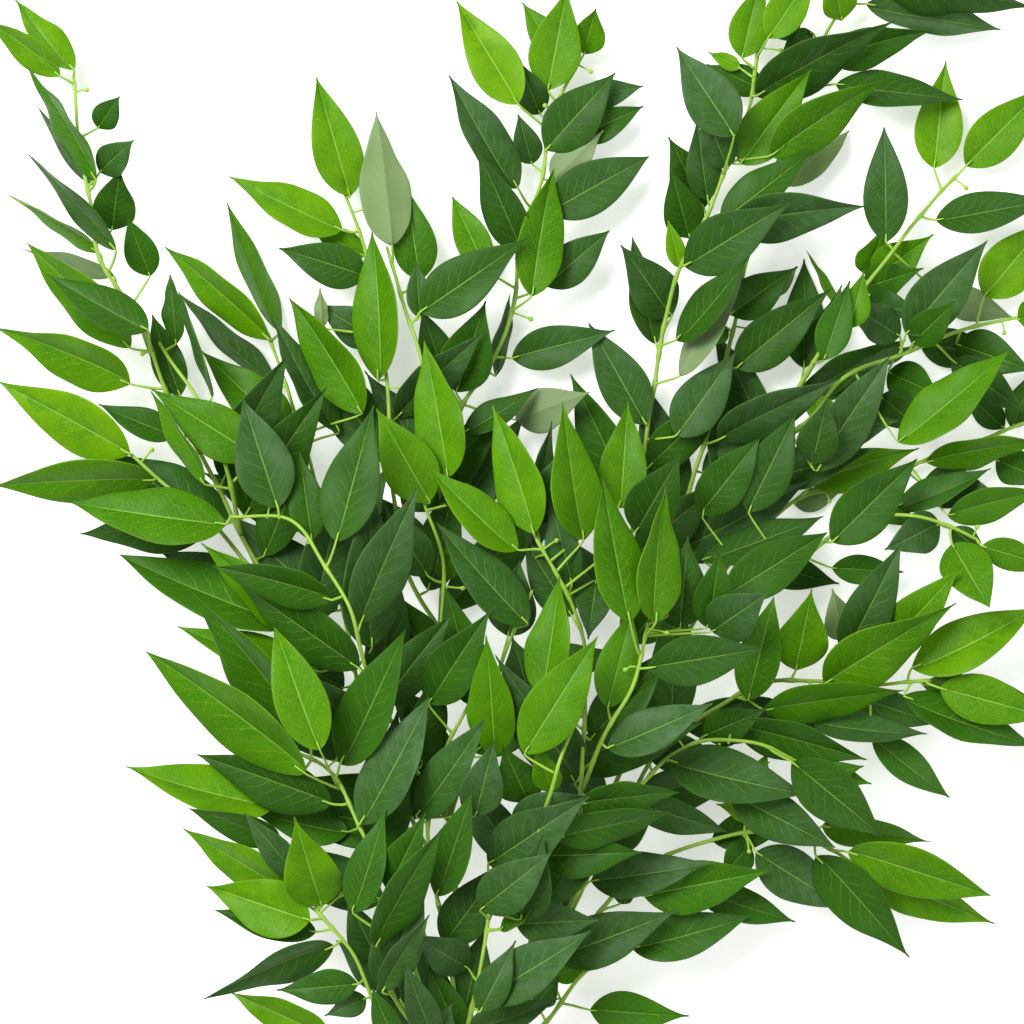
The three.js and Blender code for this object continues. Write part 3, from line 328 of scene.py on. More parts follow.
def read_leaf(points, links, tree, tip, ring, least):
    """The leaf with this tip and last section, and its corners, if at least so many of the next fit."""
    ends = is_three_ring(links, ring) and near_ends(points, tip, ring)
    if not ends:
        return None, set()
    fits = [(*fit_blade(tree, points[tip], ends, layout), layout) for layout in BLADE_LAYOUTS]
    count, found, layout = max(fits, key=lambda fit: fit[0])
    if count < least:
        return None, set()
    (base, rise), (side, face, _) = found, ends
    sections, own = [], {tip}
    for share, width in reversed(layout):
        middle = base.lerp(points[tip], share) + rise * share * (1 - share)
        half = side * width / layout[0][1]
        sections.append((middle + half, middle - half, middle - face))
        for place in sections[-1]:
            _, corner, distance = tree.find(place)
            if distance < CORNER_ERROR:
                own.add(corner)
    neck = {b for a in own for b in links[a] if (points[b] - base).length < NECK_REACH} - own
    roots = beyond(links, neck, own) if is_three_ring(links, neck) else []
    root = mean([points[a] for a in roots]) if roots else base
    return {"tip": points[tip], "sections": sections, "base": base, "root": root}, own | neck


def loose_rings(links, used):
    """The three-cornered rings that no leaf has been read from yet."""
    rings = []
    for a in range(len(links)):
        for b, c in combinations(sorted(links[a]), 2):
            if a < b and c in links[b] and not used & {a, b, c}:
                rings.append([a, b, c])
    return rings


def tips_before(points, tree, ring, used):
    """The corners that may be the tip beyond a blade's last section, where leaves cut its edges."""
    left, right, keel = ends_of(points, ring)
    middle = (left + right) / 2
    flat = (left - right).normalized(), (middle - keel).normalized()
    tips = []
    for place, tip, distance in tree.find_range(middle, LONGEST_BLADE_END):
        if tip in used or distance <= NARROWEST_BLADE:
            continue
        if max(abs((place - middle).dot(way)) for way in flat) < TIP_ASKEW * distance:
            tips.append(tip)
    return tips


def read_leaves(points, links, used):
    """Every leaf of a spray: its blade's sections from base to tip, and the two ends of its petiole."""
    tree = search_tree(points)
    leaves = []
    for tip in range(len(points)):
        leaf, own = read_leaf(points, links, tree, tip, links[tip], least=1)
        if leaf:
            leaves.append(leaf)
            used.update(own)
    for ring in loose_rings(links, used):
        if used & set(ring) or not near_ends(points, ring[0], ring):
            continue
        for tip in tips_before(points, tree, ring, used):
            leaf, own = read_leaf(points, links, tree, tip, ring, least=2)
            if leaf:
                leaves.append(leaf)
                used.update(own)
                break
    return leaves


def read_buds(points, links, used):
    """A spray's buds: the end of the stalk, the middle of the widest ring and the tip of each."""
    buds = []
    for tip, near in enumerate(links):
        if len(near) != 4 or any(len(set(near) & set(links[a])) != 2 for a in near):
            continue
        centre = mean([points[a] for a in near])
        radii = [(points[a] - centre).length / BUD_RING_RADIUS for a in near]
        if max(radii) > 1 + BUD_RING_ERROR or min(radii) < 1 - BUD_RING_ERROR:
            continue
        stalk = beyond(links, near, {tip})
        buds.append((mean([points[a] for a in stalk]), centre, points[tip]))
        used.update({tip}, near, stalk)
    return buds


def cell_of(point):
    return tuple(int(c // CELL_SIZE) for c in point)


def corners_around(cells, cell):
    """The corners in a cell and in all the cells that touch it."""
    corners = []
    for step in product((-1, 0, 1), repeat=3):
        corners += cells.get(tuple(a + b for a, b in zip(cell, step)), [])
    return corners


def read_rings(points, used):
    """The square sections of a spray's stems, each with its centre, its radius and its corners."""
    cells = {}
    for i, point in enumerate(points):
        if i not in used:
            cells.setdefault(cell_of(point), []).append(i)
    least, most = STEM_RING_SIDES
    rings = []
    for i in [i for cell in cells.values() for i in cell]:
        near = corners_around(cells, cell_of(points[i]))
        near = [j for j in near if least < (points[j] - points[i]).length < most]
        level = [j for j in near if abs(points[j].z - points[i].z) < LEVEL_ERROR]
        for a, b in product(level, near):
            first, second = points[a] - points[i], points[b] - points[i]
            off_square = abs(first.normalized().dot(second.normalized()))
            if abs(first.length - second.length) > SIDE_ERROR or off_square > SQUARE_ERROR:
                continue
            centre = (points[a] + points[b]) / 2
            ring = next((ring for ring in rings if (ring["centre"] - centre).length < SAME_RING), None)
            if not ring:
                ring = {"centre": centre, "radius": first.length / math.sqrt(2), "corners": set()}
                rings.append(ring)
            ring["corners"].update((i, a, b))
    return rings


def read_stems(points, links, used):
    """The spray's stems, each a run of sections from its tip to its foot, one even step apart."""
    rings = read_rings(points, used)
    owner = {corner: k for k, ring in enumerate(rings) for corner in ring["corners"]}
    shared = Counter()
    for corner, k in owner.items():
        for other in links[corner]:
            j = owner.get(other, k)
            thicker = rings[j]["radius"] > rings[k]["radius"] + LEAST_THICKENING
            if thicker and (points[other] - points[corner]).length > STEM_RING_SPACING:
                shared[k, j] += 1
    below, above = {}, {}
    for k, j in sorted(shared, key=lambda pair: (-shared[pair], pair)):
        if k not in below and j not in above and shared[k, j] > 1:
            below[k], above[j] = j, k
    bridge_gaps(rings, below, above)
    return [run_down(rings, k, below) for k in range(len(rings)) if k not in above]


def bridge_gaps(rings, below, above):
    """Joins the runs that a hidden section parts, where place and radius go on by the same step."""
    for k in [k for k in range(len(rings)) if k not in below and k in above]:
        end, before = rings[k], rings[above[k]]
        step, thicker = end["centre"] - before["centre"], end["radius"] - before["radius"]
        for missed in range(1, MISSED_RINGS + 1):
            reach, radius = end["centre"] + step * missed, end["radius"] + thicker * missed
            free = [j for j in range(len(rings)) if j not in above]
            free = [j for j in free if abs(rings[j]["radius"] - radius) < STEP_ERROR]
            free = [j for j in free if (rings[j]["centre"] - reach).length < MISSED_SWERVE * missed]
            if free:
                below[k] = min(free, key=lambda j: (rings[j]["centre"] - reach).length)
                above[below[k]] = k
                break


def run_down(rings, k, below):
    """The sections of one stem, from this one down."""
    run = [rings[k]]
    while k in below:
        k = below[k]
        run.append(rings[k])
    return {"centres": [ring["centre"] for ring in run], "radii": [ring["radius"] for ring in run]}


def read_main_stem():
    """The woody stem's centre line and radii, from the highest and widest points of its rings."""
    points = sorted(points_and_links("main_stem")[0], key=lambda p: -p.y)
    groups = [[points[0]]]
    for point in points[1:]:
        if groups[-1][-1].y - point.y > MAIN_STEM_RING_SPACING:
            groups.append([])
        groups[-1].append(point)
    to_side = math.cos(math.pi / MAIN_STEM_SIDES)
    centres, radii = [], []
    for group in groups:
        across = [p.x for p in group]
        radius = (max(across) - min(across)) / 2 / to_side
        top = max(p.z for p in group)
        centres.append(Vector(((max(across) + min(across)) / 2, mean(group).y, top - radius * to_side)))
        radii.append(radius)
    return centres, radii


# Putting the stems together


def complete_tips(runs):
    """Lets a run whose first sections are hidden go on to where the stem has its tip's radius."""
    singles = [run for run in runs if len(run["radii"]) == 1]
    whole = [run for run in runs if len(run["radii"]) > 1]
    for run in whole:
        step = run["radii"][1] - run["radii"][0]
        for _ in range(round((run["radii"][0] - STEM_TIP_RADIUS) / step)):
            radius = run["radii"][0] - step
            place = run["centres"][0] * 2 - run["centres"][1]
            seen = [s["centres"][0] for s in singles if abs(s["radii"][0] - radius) < TIP_ERROR]
            seen = [centre for centre in seen if (centre - place).length < TIP_SWERVE]
            run["centres"].insert(0, seen[0] if seen else place)
            run["radii"].insert(0, radius)
    return whole


def nearest_on(line, place):
    """The nearest place on a run of points."""
    spots = []
    for a, b in zip(line, line[1:]):
        share = max(0.0, min(1.0, (place - a).dot(b - a) / (b - a).length_squared))
        spots.append(a.lerp(b, share))
    return min(spots, key=lambda spot: (spot - place).length)


def root_runs(runs, main_line):
    """Leads each stem's foot into the stem that carries it."""
    lines = [list(run["centres"]) for run in runs]
    for run, own in zip(runs, lines):
        on_main = run["radii"][-1] > SIDE_STEM_FOOT_RADIUS + 2 * FOOT_ERROR
        reached = abs(run["radii"][-1] - SIDE_STEM_FOOT_RADIUS) < FOOT_ERROR
        end = run["centres"][-1] if reached else run["centres"][-1] * 2 - run["centres"][-2]
        others = [main_line] if on_main else [line for line in lines if line is not own]
        spots = [nearest_on(line, end) for line in others]
        run["centres"].append(min(spots, key=lambda spot: (spot - end).length))
        run["radii"].append(run["radii"][-1])


# Mesh code


class Builder:
    """Gathers closed meshes into one piece, with named values for every point."""

    def __init__(self, names):
        self.points, self.faces, self.uvs = [], [], []
        self.values = {name: [] for name in names}

    def point(self, place, uv, **values):
        """Adds a point and returns its number."""
        self.points.append(place)
        self.uvs.append(uv)
        for name in self.values:
            self.values[name].append(values.get(name, 0.0))
        return len(self.points) - 1

    def piece(self, name, slot, nodes, look):
        """Makes the piece that takes the place of the nodes."""
        mesh = bpy.data.meshes.new(name)
        mesh.from_pydata(self.points, [], self.faces)
        layer = mesh.uv_layers.new(name="UVMap")
        corners = [0] * len(mesh.loops)
        mesh.loops.foreach_get("vertex_index", corners)
        layer.data.foreach_set("uv", [c for corner in corners for c in self.uvs[corner]])
        for value, numbers in self.values.items():
            mesh.attributes.new(value, "FLOAT", "POINT").data.foreach_set("value", numbers)
        mesh.materials.append(look)
        mesh.shade_smooth()
        piece = bpy.data.objects.new(name, mesh)
        bpy.context.scene.collection.objects.link(piece)
        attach(piece, "root")
        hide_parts(*nodes)
        return piece


def tube(builder, points, radii, sides, **values):
    """A round closed tube along the points. A value is one number, or a list with one for each point."""
    rings, across = [], None
    for i, (point, radius) in enumerate(zip(points, radii)):
        along = (points[min(i + 1, len(points) - 1)] - points[max(i - 1, 0)]).normalized()
        if across is None:
            across = along.cross(TUBE_START).normalized()
        across = (across - along * across.dot(along)).normalized()
        up = along.cross(across)
        middle = Vector((point.x, point.y, max(point.z, radius)))
        own = {name: value[i] if isinstance(value, list) else value for name, value in values.items()}
        ring = []
        for k in range(sides):
            turn = 2 * math.pi * k / sides
            place = middle + (across * math.cos(turn) + up * math.sin(turn)) * radius
            ring.append(builder.point(place, (k / sides, i / len(points)), **own))
        rings.append(ring)
    for low, high in zip(rings, rings[1:]):
        for k in range(sides):
            n = (k + 1) % sides
            builder.faces.append((low[k], low[n], high[n], high[k]))
    builder.faces.append(tuple(reversed(rings[0])))
    builder.faces.append(tuple(rings[-1]))


def wandered(place):
    """The place on a stem, moved a little to the side, as nothing grows straight."""
    return place + noise.noise_vector(place * WANDER_SCALE) * STEM_WANDER


def stem(builder, run, joints):
    """A stem with a slight wander, swollen a little where a leaf leaves it."""
    knots = reaches(run["centres"])
    middle, thickness = curve(knots, run["centres"]), curve(knots, run["radii"])
    steps = max(2, round(knots[-1] / STEM_STATION))
    places, radii, wood = [], [], []
    for k in range(steps + 1):
        reach = knots[-1] * k / steps
        place, radius = middle(reach), thickness(reach) * STEM_SLIMNESS
        gap = max(0.0, min((place - joint).length for joint in joints) - radius)
        places.append(wandered(place))
        radii.append(radius * (1 + NODE_SWELLING * math.exp(-((gap / NODE_LENGTH) ** 2))))
        wood.append((thickness(reach) - STEM_TIP_RADIUS) / (STEM_FOOT_RADIUS - STEM_TIP_RADIUS))
    end = places[0] - (places[1] - places[0]).normalized() * STEM_POINT_LENGTH
    end_radius = STEM_POINT_RADIUS * radii[0]
    tube(builder, [end] + places, [end_radius] + radii, STEM_SIDES, wood=[wood[0]] + wood)


def spot_on_stems(runs, place):
    """The nearest place on the middle line of a stem."""
    spots = [nearest_on(run["centres"], place) for run in runs]
    return min(spots, key=lambda spot: (spot - place).length)


def bud(builder, base, middle, tip, runs):
    """A small pointed bud on a stalk from the nearest stem."""
    foot, start = wandered(spot_on_stems(runs, base)), base.lerp(middle, BUD_START)
    places = [foot, foot.lerp(start, 0.5)] + [start.lerp(tip, share) for share in BUD_SHARES]
    radii = [radius * MM for radius in BUD_STALK_RADII + BUD_RADII]
    tube(builder, places, radii, STALK_SIDES, wood=BUD_WOOD)


def blade_outline(fullness, point):
    """A blade's half width along it, 1 where it is broadest."""
    base_power = BASE_FULLNESS * fullness
    tip_power = base_power * (1 - BROADEST_AT) / BROADEST_AT

    def at(t):
        widening, narrowing = max(t, 0) / BROADEST_AT, max(1 - t, 0) / (1 - BROADEST_AT)
        return widening**base_power * narrowing ** (tip_power * point)

    return at


def eased(share):
    """A share of a blade's length, from even ones, with closer steps at both ends."""
    return 0.5 * share + 0.25 * (1 - math.cos(math.pi * share))


def leaf_frame(leaf):
    """The smooth middle line of a blade and its cross direction, by share of its length."""
    between = [(left + right) / 2 for left, right, _ in leaf["sections"]]
    centres = [leaf["base"]] + between + [leaf["tip"]]
    knots = reaches(centres)
    knots = [knot / knots[-1] for knot in knots]
    along = (leaf["tip"] - leaf["base"]).normalized()
    sides = []
    for left, right, keel in leaf["sections"]:
        side, face = (left - right).normalized(), (left + right) / 2 - keel
        sides.append(side if along.cross(side).dot(face) > 0 else -side)
    return knots, curve(knots, centres), curve(knots, [sides[0]] + sides + [sides[-1]])


def blade_form(leaf, knots, draw):
    """One blade's own half widths along it, its twist, and how high it stands over its middle line."""
    outline = blade_outline(draw.uniform(*FULLNESS), draw.uniform(*POINTEDNESS))
    read = zip(leaf["sections"], knots[1:])
    halves = [(left - right).length / 2 / outline(t) for (left, right, _), t in read]
    half = sum(halves) / len(halves)
    fold = draw.uniform(*BLADE_FOLD) * half
    wave, waves = draw.uniform(*MARGIN_WAVE), draw.uniform(*WAVES_ALONG)
    twist = draw.uniform(-1, 1) * LARGEST_TWIST
    phases = (draw.uniform(*WAVE_START), draw.uniform(*WAVE_START))

    def width_at(t):
        return max(half * outline(t), BLADE_END_HALF_WIDTH)

    def rise_at(t, u):
        folded = fold * (abs(u) ** FOLD_SHARPNESS - 1) * outline(t) ** 0.5
        phase = phases[1] if u > 0 else phases[0]
        waved = wave * math.sin(2 * math.pi * waves * t + phase) * u * u * math.sin(math.pi * t)
        return folded + waved + BLADE_CAMBER * half * math.sin(math.pi * abs(u)) * outline(t)

    return width_at, rise_at, twist


def blade(builder, leaf, draw):
    """A thin closed blade: folded along its midrib, gently twisted, and waved at its margins."""
    knots, middle, side_at = leaf_frame(leaf)
    width_at, rise_at, twist = blade_form(leaf, knots, draw)
    values = {"age": leaf["age"], "tone": draw.random()}
    top, bottom = [], []
    for row in range(BLADE_ROWS):
        t = eased(row / BLADE_ROWS)
        along = (middle(min(t + A_LITTLE, 1)) - middle(max(t - A_LITTLE, 0))).normalized()
        side = side_at(t)
        side = (side - along * side.dot(along)).normalized()
        side = Matrix.Rotation(twist * (t - 0.5), 3, along) @ side
        face, width = along.cross(side), width_at(t)
        # Thinner towards the base and the tip, where the midrib's groove and ridge run out too.
        thick = BLADE_THICKNESS / 2 * min(1.0, 6 * t, 4 * (1 - t) + 0.2)
        groove, ridge = MIDRIB_GROOVE * min(1, 5 * (1 - t)), MIDRIB_RIDGE * (1 - t)
        upper, lower = [], []
        for u in BLADE_COLUMNS:
            near_rib = math.exp(-((u * width / MIDRIB_WIDTH) ** 2))
            spot = middle(t) + side * (u * width) + face * rise_at(t, u)
            spot.z = max(spot.z, LOWEST_BLADE)
            uv = (0.5 + 0.5 * u, t)
            if abs(u) == 1 or row == 0:
                shared = builder.point(spot, uv, under=0.5, **values)
                upper.append(shared)
                lower.append(shared)
                continue
            up, down = thick - groove * near_rib, thick + ridge * near_rib
            upper.append(builder.point(spot + face * up, uv, under=0.0, **values))
            lower.append(builder.point(spot - face * down, uv, under=1.0, **values))
        top.append(upper)
        bottom.append(lower)
    tip = builder.point(leaf["tip"], (0.5, 1.0), under=0.3, **values)
    close_blade(builder, top, bottom, tip)
    return middle(PETIOLE_END)


def close_blade(builder, top, bottom, tip):
    """The faces between a blade's rows, and those from its last rows to its tip."""
    last = len(BLADE_COLUMNS) - 1
    for rows, flip in ((top, False), (bottom, True)):
        for low, high in zip(rows, rows[1:]):
            for k in range(last):
                face = (low[k], low[k + 1], high[k + 1], high[k])
                face = tuple(dict.fromkeys(reversed(face) if flip else face))
                if len(face) > 2:
                    builder.faces.append(face)
    for k in range(last):
        builder.faces.append((top[-1][k], top[-1][k + 1], tip))
        builder.faces.append((bottom[-1][k + 1], bottom[-1][k], tip))


def petiole(builder, leaf, blade_start, runs):
    """The short stalk from the middle of the nearest stem into the blade's foot."""
    root, base = leaf["root"], leaf["base"]
    spot = spot_on_stems(runs, root)
    if (spot - root).length > ROOT_REACH or (base - root).length < ROOT_REACH:
        root = spot.lerp(base, PETIOLE_BEND)
    bend, lead = root.lerp(base, PETIOLE_BEND), base.lerp(blade_start, PETIOLE_LEAD)
    places = [wandered(spot), bend, base, lead, blade_start]
    knots = reaches(places)
    middle = curve(knots, places)
    stations, radii = [], []
    for k in range(PETIOLE_STATIONS):
        share = k / (PETIOLE_STATIONS - 1)
        width = PETIOLE_FLARE - PETIOLE_TAPER * share - NECK_TAPER * max(0, share - NECK_START)
        stations.append(middle(knots[-1] * share))
        radii.append(PETIOLE_RADIUS * width)
    tube(builder, stations, radii, STALK_SIDES, wood=PETIOLE_WOOD)


# Materials


class Look:
    """A node material, put together from short calls."""

    def __init__(self, name):
        self.material = bpy.data.materials.new(name)
        self.material.use_nodes = True
        self.tree = self.material.node_tree
        self.shader = self.tree.nodes["Principled BSDF"]

    def node(self, kind, *inputs, out=0, **settings):
        """A node with its first inputs fed and its settings made. Returns one of its outputs."""
        node = self.tree.nodes.new("ShaderNode" + kind)
        for name, value in settings.items():
            setattr(node, name, value)
        for socket, value in zip(node.inputs, inputs):
            self.feed(socket, value)
        return node.outputs[out]

    def feed(self, socket, value):
        """Links an output to the socket, or sets a constant on it. With None it stays as it is."""
        if isinstance(value, bpy.types.NodeSocket):
            self.tree.links.new(value, socket)
        elif value is not None:
            socket.default_value = value

    def calc(self, operation, a, b=0.0, c=0.0):
        return self.node("Math", a, b, c, operation=operation)

    def span(self, value, low, high, out_low=0.0, out_high=1.0):
        """Goes smoothly from one output to the other, as the value goes from low to high."""
        limits = (low, high, out_low, out_high)
        return self.node("MapRange", value, *limits, interpolation_type="SMOOTHSTEP")

    def fade(self, value, low, high):
        """Goes smoothly from 1 to 0, as the value goes from low to high."""
        return self.span(value, low, high, 1.0, 0.0)

    def mix(self, share, a, b):
        """The first colour, with the share of the second mixed in."""
        node = self.tree.nodes.new("ShaderNodeMix")
        node.data_type = "RGBA"
        for index, value in ((0, share), (6, a), (7, b)):
            self.feed(node.inputs[index], value)
        return node.outputs[2]

    def ramp(self, value, stops):
        """The colour that the value has among the stops, each a position and a colour."""
        node = self.tree.nodes.new("ShaderNodeValToRGB")
        self.feed(node.inputs[0], value)
        ramp = node.color_ramp
        ramp.elements[0].position, ramp.elements[0].color = stops[0]
        ramp.elements[1].position, ramp.elements[1].color = stops[-1]
        for position, colour in stops[1:-1]:
            ramp.elements.new(position).color = colour
        return node.outputs[0]

    def value(self, name):
        """What the builder wrote at each point under this name."""
        return self.node("Attribute", attribute_name=name, out=2)

    def place(self):
        """The place in the piece's own space."""
        return self.node("TexCoord", out=3)

    def noise(self, scale, detail, where=None):
        return self.node("TexNoise", where or self.place(), None, scale, detail, NOISE_ROUGHNESS)

    def bump(self, height, strength, distance):
        """Lets the height be felt in the light."""
        node = self.tree.nodes.new("ShaderNodeBump")
        self.feed(node.inputs["Height"], height)
        node.inputs["Strength"].default_value = strength
        node.inputs["Distance"].default_value = distance
        self.tree.links.new(node.outputs[0], self.shader.inputs["Normal"])

    def finish(self, colour, roughness):
        self.feed(self.shader.inputs["Base Color"], colour)
        self.feed(self.shader.inputs["Roughness"], roughness)
        return self.material


def leaf_marks(look, along, across, blotch, warp):
    """Where a leaf's net of small veins, its slanting veins, its margin and its midrib are."""
    cell = look.node("TexVoronoi", look.place(), None, NET_SCALE, feature="DISTANCE_TO_EDGE")
    net = look.fade(cell, 0.0, NET_WIDTH)
    run = look.calc("MULTIPLY_ADD", across, -VEIN_SLANT, look.calc("MULTIPLY", along, VEINS_ALONG))
    run = look.calc("MULTIPLY_ADD", warp, 0.8, look.calc("MULTIPLY_ADD", blotch, 0.5, run))
    vein = look.fade(look.calc("PINGPONG", run, 0.5), 0.0, VEIN_WIDTH)
    vein = look.calc("MULTIPLY", vein, look.fade(across, *VEIN_FADE))
    return net, vein, look.span(across, *MARGIN_EDGE), look.fade(across, *RIB_EDGE)


def leaf_painted_sheen(look, age, tone, along, warp):
    """How much painted grey sheen an old leaf has, a painted reflection of the soft light on it."""
    sheen = look.calc("MULTIPLY", look.span(tone, 0.2, 1.0, 0.04, 0.3), look.span(age, 0.5, 0.9))
    sheen = look.calc("MULTIPLY", sheen, look.span(warp, 0.3, 0.7, 0.5, 1.0))
    return look.calc("MULTIPLY", sheen, look.span(along, 0.0, 0.9, 0.45, 1.3))


def leaf_shade(look, young, along, across, warp):
    """How much deeper a young leaf's green is towards its tip, in flecks."""
    towards_tip = look.span(along, 0.25, 0.85, 0.25, 1.0)
    shade = look.calc("MULTIPLY", towards_tip, look.span(across, 0.1, 0.8, 0.8, 0.0))
    return look.calc("MULTIPLY", look.calc("MULTIPLY", shade, young), look.span(warp, 0.4, 0.62))


def leaf_look():
    look = Look("ruscus_leaf")
    uv = look.node("SeparateXYZ", look.node("UVMap", uv_map="UVMap")).node.outputs
    along = uv[1]
    across = look.calc("ABSOLUTE", look.calc("MULTIPLY_ADD", uv[0], 2.0, -1.0))
    blotch, warp = look.noise(BLOTCH_SCALE, 3.0), look.noise(WARP_SCALE, 2.0)
    net, vein, margin, rib = leaf_marks(look, along, across, blotch, warp)
    age, tone, under = look.value("age"), look.value("tone"), look.value("under")
    young = look.fade(age, *YOUNG_AGES)
    old = look.calc("MULTIPLY_ADD", look.calc("SUBTRACT", tone, 0.5), 0.3, age)
    old = look.calc("MULTIPLY_ADD", look.calc("SUBTRACT", blotch, 0.5), 0.45, old)
    # Old leaves get a painted grey sheen over their green, a painted reflection of the light.
    colour = look.mix(leaf_painted_sheen(look, age, tone, along, warp), look.ramp(old, LEAF_GREENS), PAINTED_SHEEN)
    colour = look.mix(leaf_shade(look, young, along, across, warp), colour, DEEP_GREEN)
    for mark, by_youth, always, paler in (
        (net, 0.16, 0.05, PALE_VEIN),
        (vein, 0.06, 0.22, PALE_VEIN),
        (margin, 0.3, 0.08, PALE_VEIN),
        (rib, 0.25, 0.32, RIB_GREEN),
    ):
        share = look.calc("MULTIPLY", mark, look.calc("MULTIPLY_ADD", young, by_youth, always))
        colour = look.mix(share, colour, paler)
    back = look.mix(look.calc("MULTIPLY", vein, 0.25), look.ramp(old, UNDERSIDE_GREENS), RIB_GREEN)
    colour = look.mix(look.span(under, 0.35, 0.65), colour, back)
    look.bump(look.calc("MULTIPLY", vein, -1.0), 0.45, VEIN_DEPTH)
    look.shader.inputs["Specular IOR Level"].default_value = LEAF_GLOSS
    roughness = look.calc("MULTIPLY_ADD", under, 0.12, look.span(blotch, 0.3, 0.7, 0.38, 0.5))
    return look.finish(colour, roughness)


def twig_look():
    look = Look("ruscus_twig")
    blotch = look.noise(TWIG_BLOTCH_SCALE, 4.0)
    worn = look.calc("MULTIPLY_ADD", look.calc("SUBTRACT", blotch, 0.5), 0.9, look.value("wood"))
    colour = look.ramp(look.calc("MULTIPLY_ADD", worn, 0.6, 0.3), TWIG_GREENS)
    look.bump(look.noise(TWIG_GRAIN_SCALE, 3.0), 0.4, TWIG_GRAIN_DEPTH)
    return look.finish(colour, look.span(blotch, 0.3, 0.7, 0.45, 0.6))


def bark_look():
    look = Look("ruscus_bark")
    streak = look.noise(STREAK_SCALE, 5.0, look.node("Mapping", look.place(), None, None, STREAK_STRETCH))
    blotch = look.noise(BARK_BLOTCH_SCALE, 3.0)
    mottle = look.calc("MULTIPLY_ADD", blotch, 0.5, look.calc("MULTIPLY", streak, 0.55))
    cut = look.value("cut")
    rings = look.calc("MULTIPLY_ADD", cut, GROWTH_RINGS, look.calc("MULTIPLY", blotch, 0.3))
    rings = look.calc("MULTIPLY", look.calc("PINGPONG", rings, 0.5), 2.0)
    bark, face = look.ramp(mottle, BARK_BROWNS), look.ramp(rings, CUT_WOOD)
    colour = look.mix(look.span(cut, 0.02, 0.12), bark, face)
    look.bump(streak, 0.7, BARK_DEPTH)
    return look.finish(colour, look.span(streak, 0.3, 0.7, 0.6, 0.8))


def floor_look():
    look = Look("studio_floor")
    look.shader.inputs["Emission Color"].default_value = (1, 1, 1, 1)
    look.shader.inputs["Emission Strength"].default_value = FLOOR_GLOW
    return look.finish(look.mix(look.noise(30.0, 3.0), *FLOOR_WHITES), 0.9)


# The plant


def dress_spray(node, main_line, draw):
    """Puts two pieces in the place of a spray: its blades, and its stems with petioles and buds."""
    points, links = points_and_links(node)
    used = set()
    leaves = read_leaves(points, links, used)
    buds = read_buds(points, links, used)
    runs = complete_tips(read_stems(points, links, used))
    root_runs(runs, main_line)
    blades, twigs = Builder(["age", "tone", "under"]), Builder(["wood"])
    for leaf in leaves:
        left, right, keel = leaf["sections"][0]
        depth = ((left + right) / 2 - keel).length
        leaf["age"] = max(0.0, min(1.0, (depth - YOUNG_KEEL) / (OLD_KEEL - YOUNG_KEEL)))
        petiole(twigs, leaf, blade(blades, leaf, draw), runs)
    for run in runs:
        stem(twigs, run, [leaf["root"] for leaf in leaves])
    for place in buds:
        bud(twigs, *place, runs)
    name = node.replace("spray_", "")
    blades.piece("leaves_" + name, "leaf", [node], LEAF)
    twigs.piece("stems_" + name, "twig", [node], TWIG)


def dress_main_stem(centres, radii):
    """The woody stem: ridged bark, rings where old shoots sat, and a pale sawn end."""
    builder = Builder(["cut"])
    knots = reaches(centres)
    middle, thickness = curve(knots, centres), curve(knots, radii)
    rings = []
    for k in range(BARK_STATIONS + 1):
        reach = knots[-1] * k / BARK_STATIONS
        place, radius = middle(reach), thickness(reach)
        along = (middle(min(reach + MM, knots[-1])) - middle(max(reach - MM, 0))).normalized()
        across = along.cross(Vector((0, 0, 1))).normalized()
        from_scar = reach % OLD_SHOOT_SPACING - OLD_SHOOT_SPACING / 2
        scar = math.exp(-((from_scar / OLD_SHOOT_LENGTH) ** 2))
        ring = []
        for side in range(BARK_SIDES):
            turn = 2 * math.pi * side / BARK_SIDES
            x, z = math.cos(turn), math.sin(turn)
            out = across * x + across.cross(along) * z
            ridge = noise.noise(Vector((x * RIDGE_WIDTHS, reach * RIDGE_LENGTHS, z * RIDGE_WIDTHS)))
            spot = place + out * radius * (1 + BARK_RELIEF * (ridge + scar - 1))
            spot.z = max(spot.z, 0.0)
            ring.append(builder.point(spot, (side / BARK_SIDES, k / BARK_STATIONS), cut=0.0))
        rings.append(ring)
    for low, high in zip(rings, rings[1:]):
        for side in range(BARK_SIDES):
            after = (side + 1) % BARK_SIDES
            builder.faces.append((low[after], low[side], high[side], high[after]))
    close_end(builder, rings[0], False)
    close_end(builder, rings[-1], True)
    builder.piece("main_stem_bark", "bark", ["main_stem"], BARK)


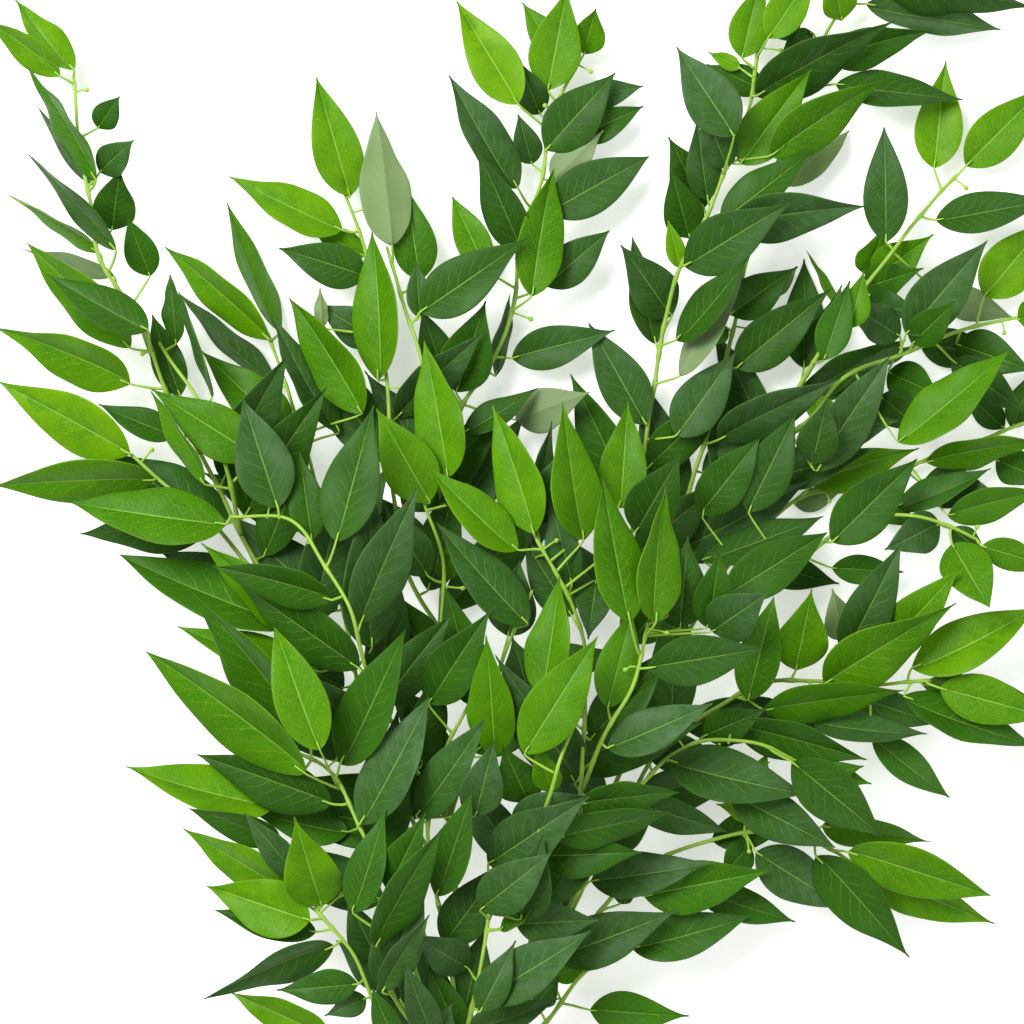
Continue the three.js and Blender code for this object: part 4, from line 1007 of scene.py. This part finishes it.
def close_end(builder, ring, flip):
    """A stem's end face, in rings that its own growth rings follow."""
    middle = mean([builder.points[a] for a in ring])
    last = ring
    for share in CUT_RINGS:
        inner = []
        for a in ring:
            spot = middle.lerp(builder.points[a], share)
            inner.append(builder.point(spot, builder.uvs[a], cut=CUT_EDGE - share))
        for side in range(len(ring)):
            after = (side + 1) % len(ring)
            face = (last[side], last[after], inner[after], inner[side])
            builder.faces.append(face[::-1] if flip else face)
        last = inner
    builder.faces.append(tuple(reversed(last)) if flip else tuple(last))


def area_light(name, place, size, power):
    """A square lamp that shines on the middle of the floor."""
    lamp = bpy.data.lights.new(name, "AREA")
    lamp.size, lamp.energy = size, power
    light = bpy.data.objects.new(name, lamp)
    light.location = place
    light.rotation_euler = (-light.location).to_track_quat("-Z", "Y").to_euler()
    bpy.context.scene.collection.objects.link(light)


def studio():
    """A pale floor under soft light."""
    mesh = bpy.data.meshes.new("floor")
    corners = [(x * FLOOR_REACH, y * FLOOR_REACH, 0) for x, y in ((-1, -1), (1, -1), (1, 1), (-1, 1))]
    mesh.from_pydata(corners, [], [(0, 1, 2, 3)])
    mesh.materials.append(floor_look())
    floor = bpy.data.objects.new("floor", mesh)
    floor.location.z = -FLOOR_DROP
    bpy.context.scene.collection.objects.link(floor)
    world = bpy.data.worlds.new("studio")
    world.use_nodes = True
    background = world.node_tree.nodes["Background"]
    background.inputs["Color"].default_value = (1, 1, 1, 1)
    background.inputs["Strength"].default_value = WORLD_LIGHT
    bpy.context.scene.world = world
    bpy.context.scene.view_settings.view_transform = "Standard"
    area_light("key", KEY_PLACE, KEY_SIZE, KEY_POWER)
    area_light("fill", FILL_PLACE, FILL_SIZE, FILL_POWER)


def camera():
    """The photo's own view. A camera that isn't turned looks straight down."""
    lens = bpy.data.cameras.new("camera")
    lens.sensor_width = SENSOR_WIDTH
    lens.lens = SENSOR_WIDTH * (EYE.z - BUNCH_HEIGHT) / PHOTO_WIDTH_AT_BUNCH
    eye = bpy.data.objects.new("camera", lens)
    eye.location = EYE
    bpy.context.scene.collection.objects.link(eye)
    bpy.context.scene.camera = eye


LEAF, TWIG, BARK = leaf_look(), twig_look(), bark_look()
draws = random.Random(SEED)
noise.seed_set(SEED)
main_centres, main_radii = read_main_stem()
dress_main_stem(main_centres, main_radii)
for node in sorted(frame["nodes"]):
    if node != "main_stem":
        dress_spray(node, main_centres, draws)
studio()
camera()
bpy.context.view_layer.update()
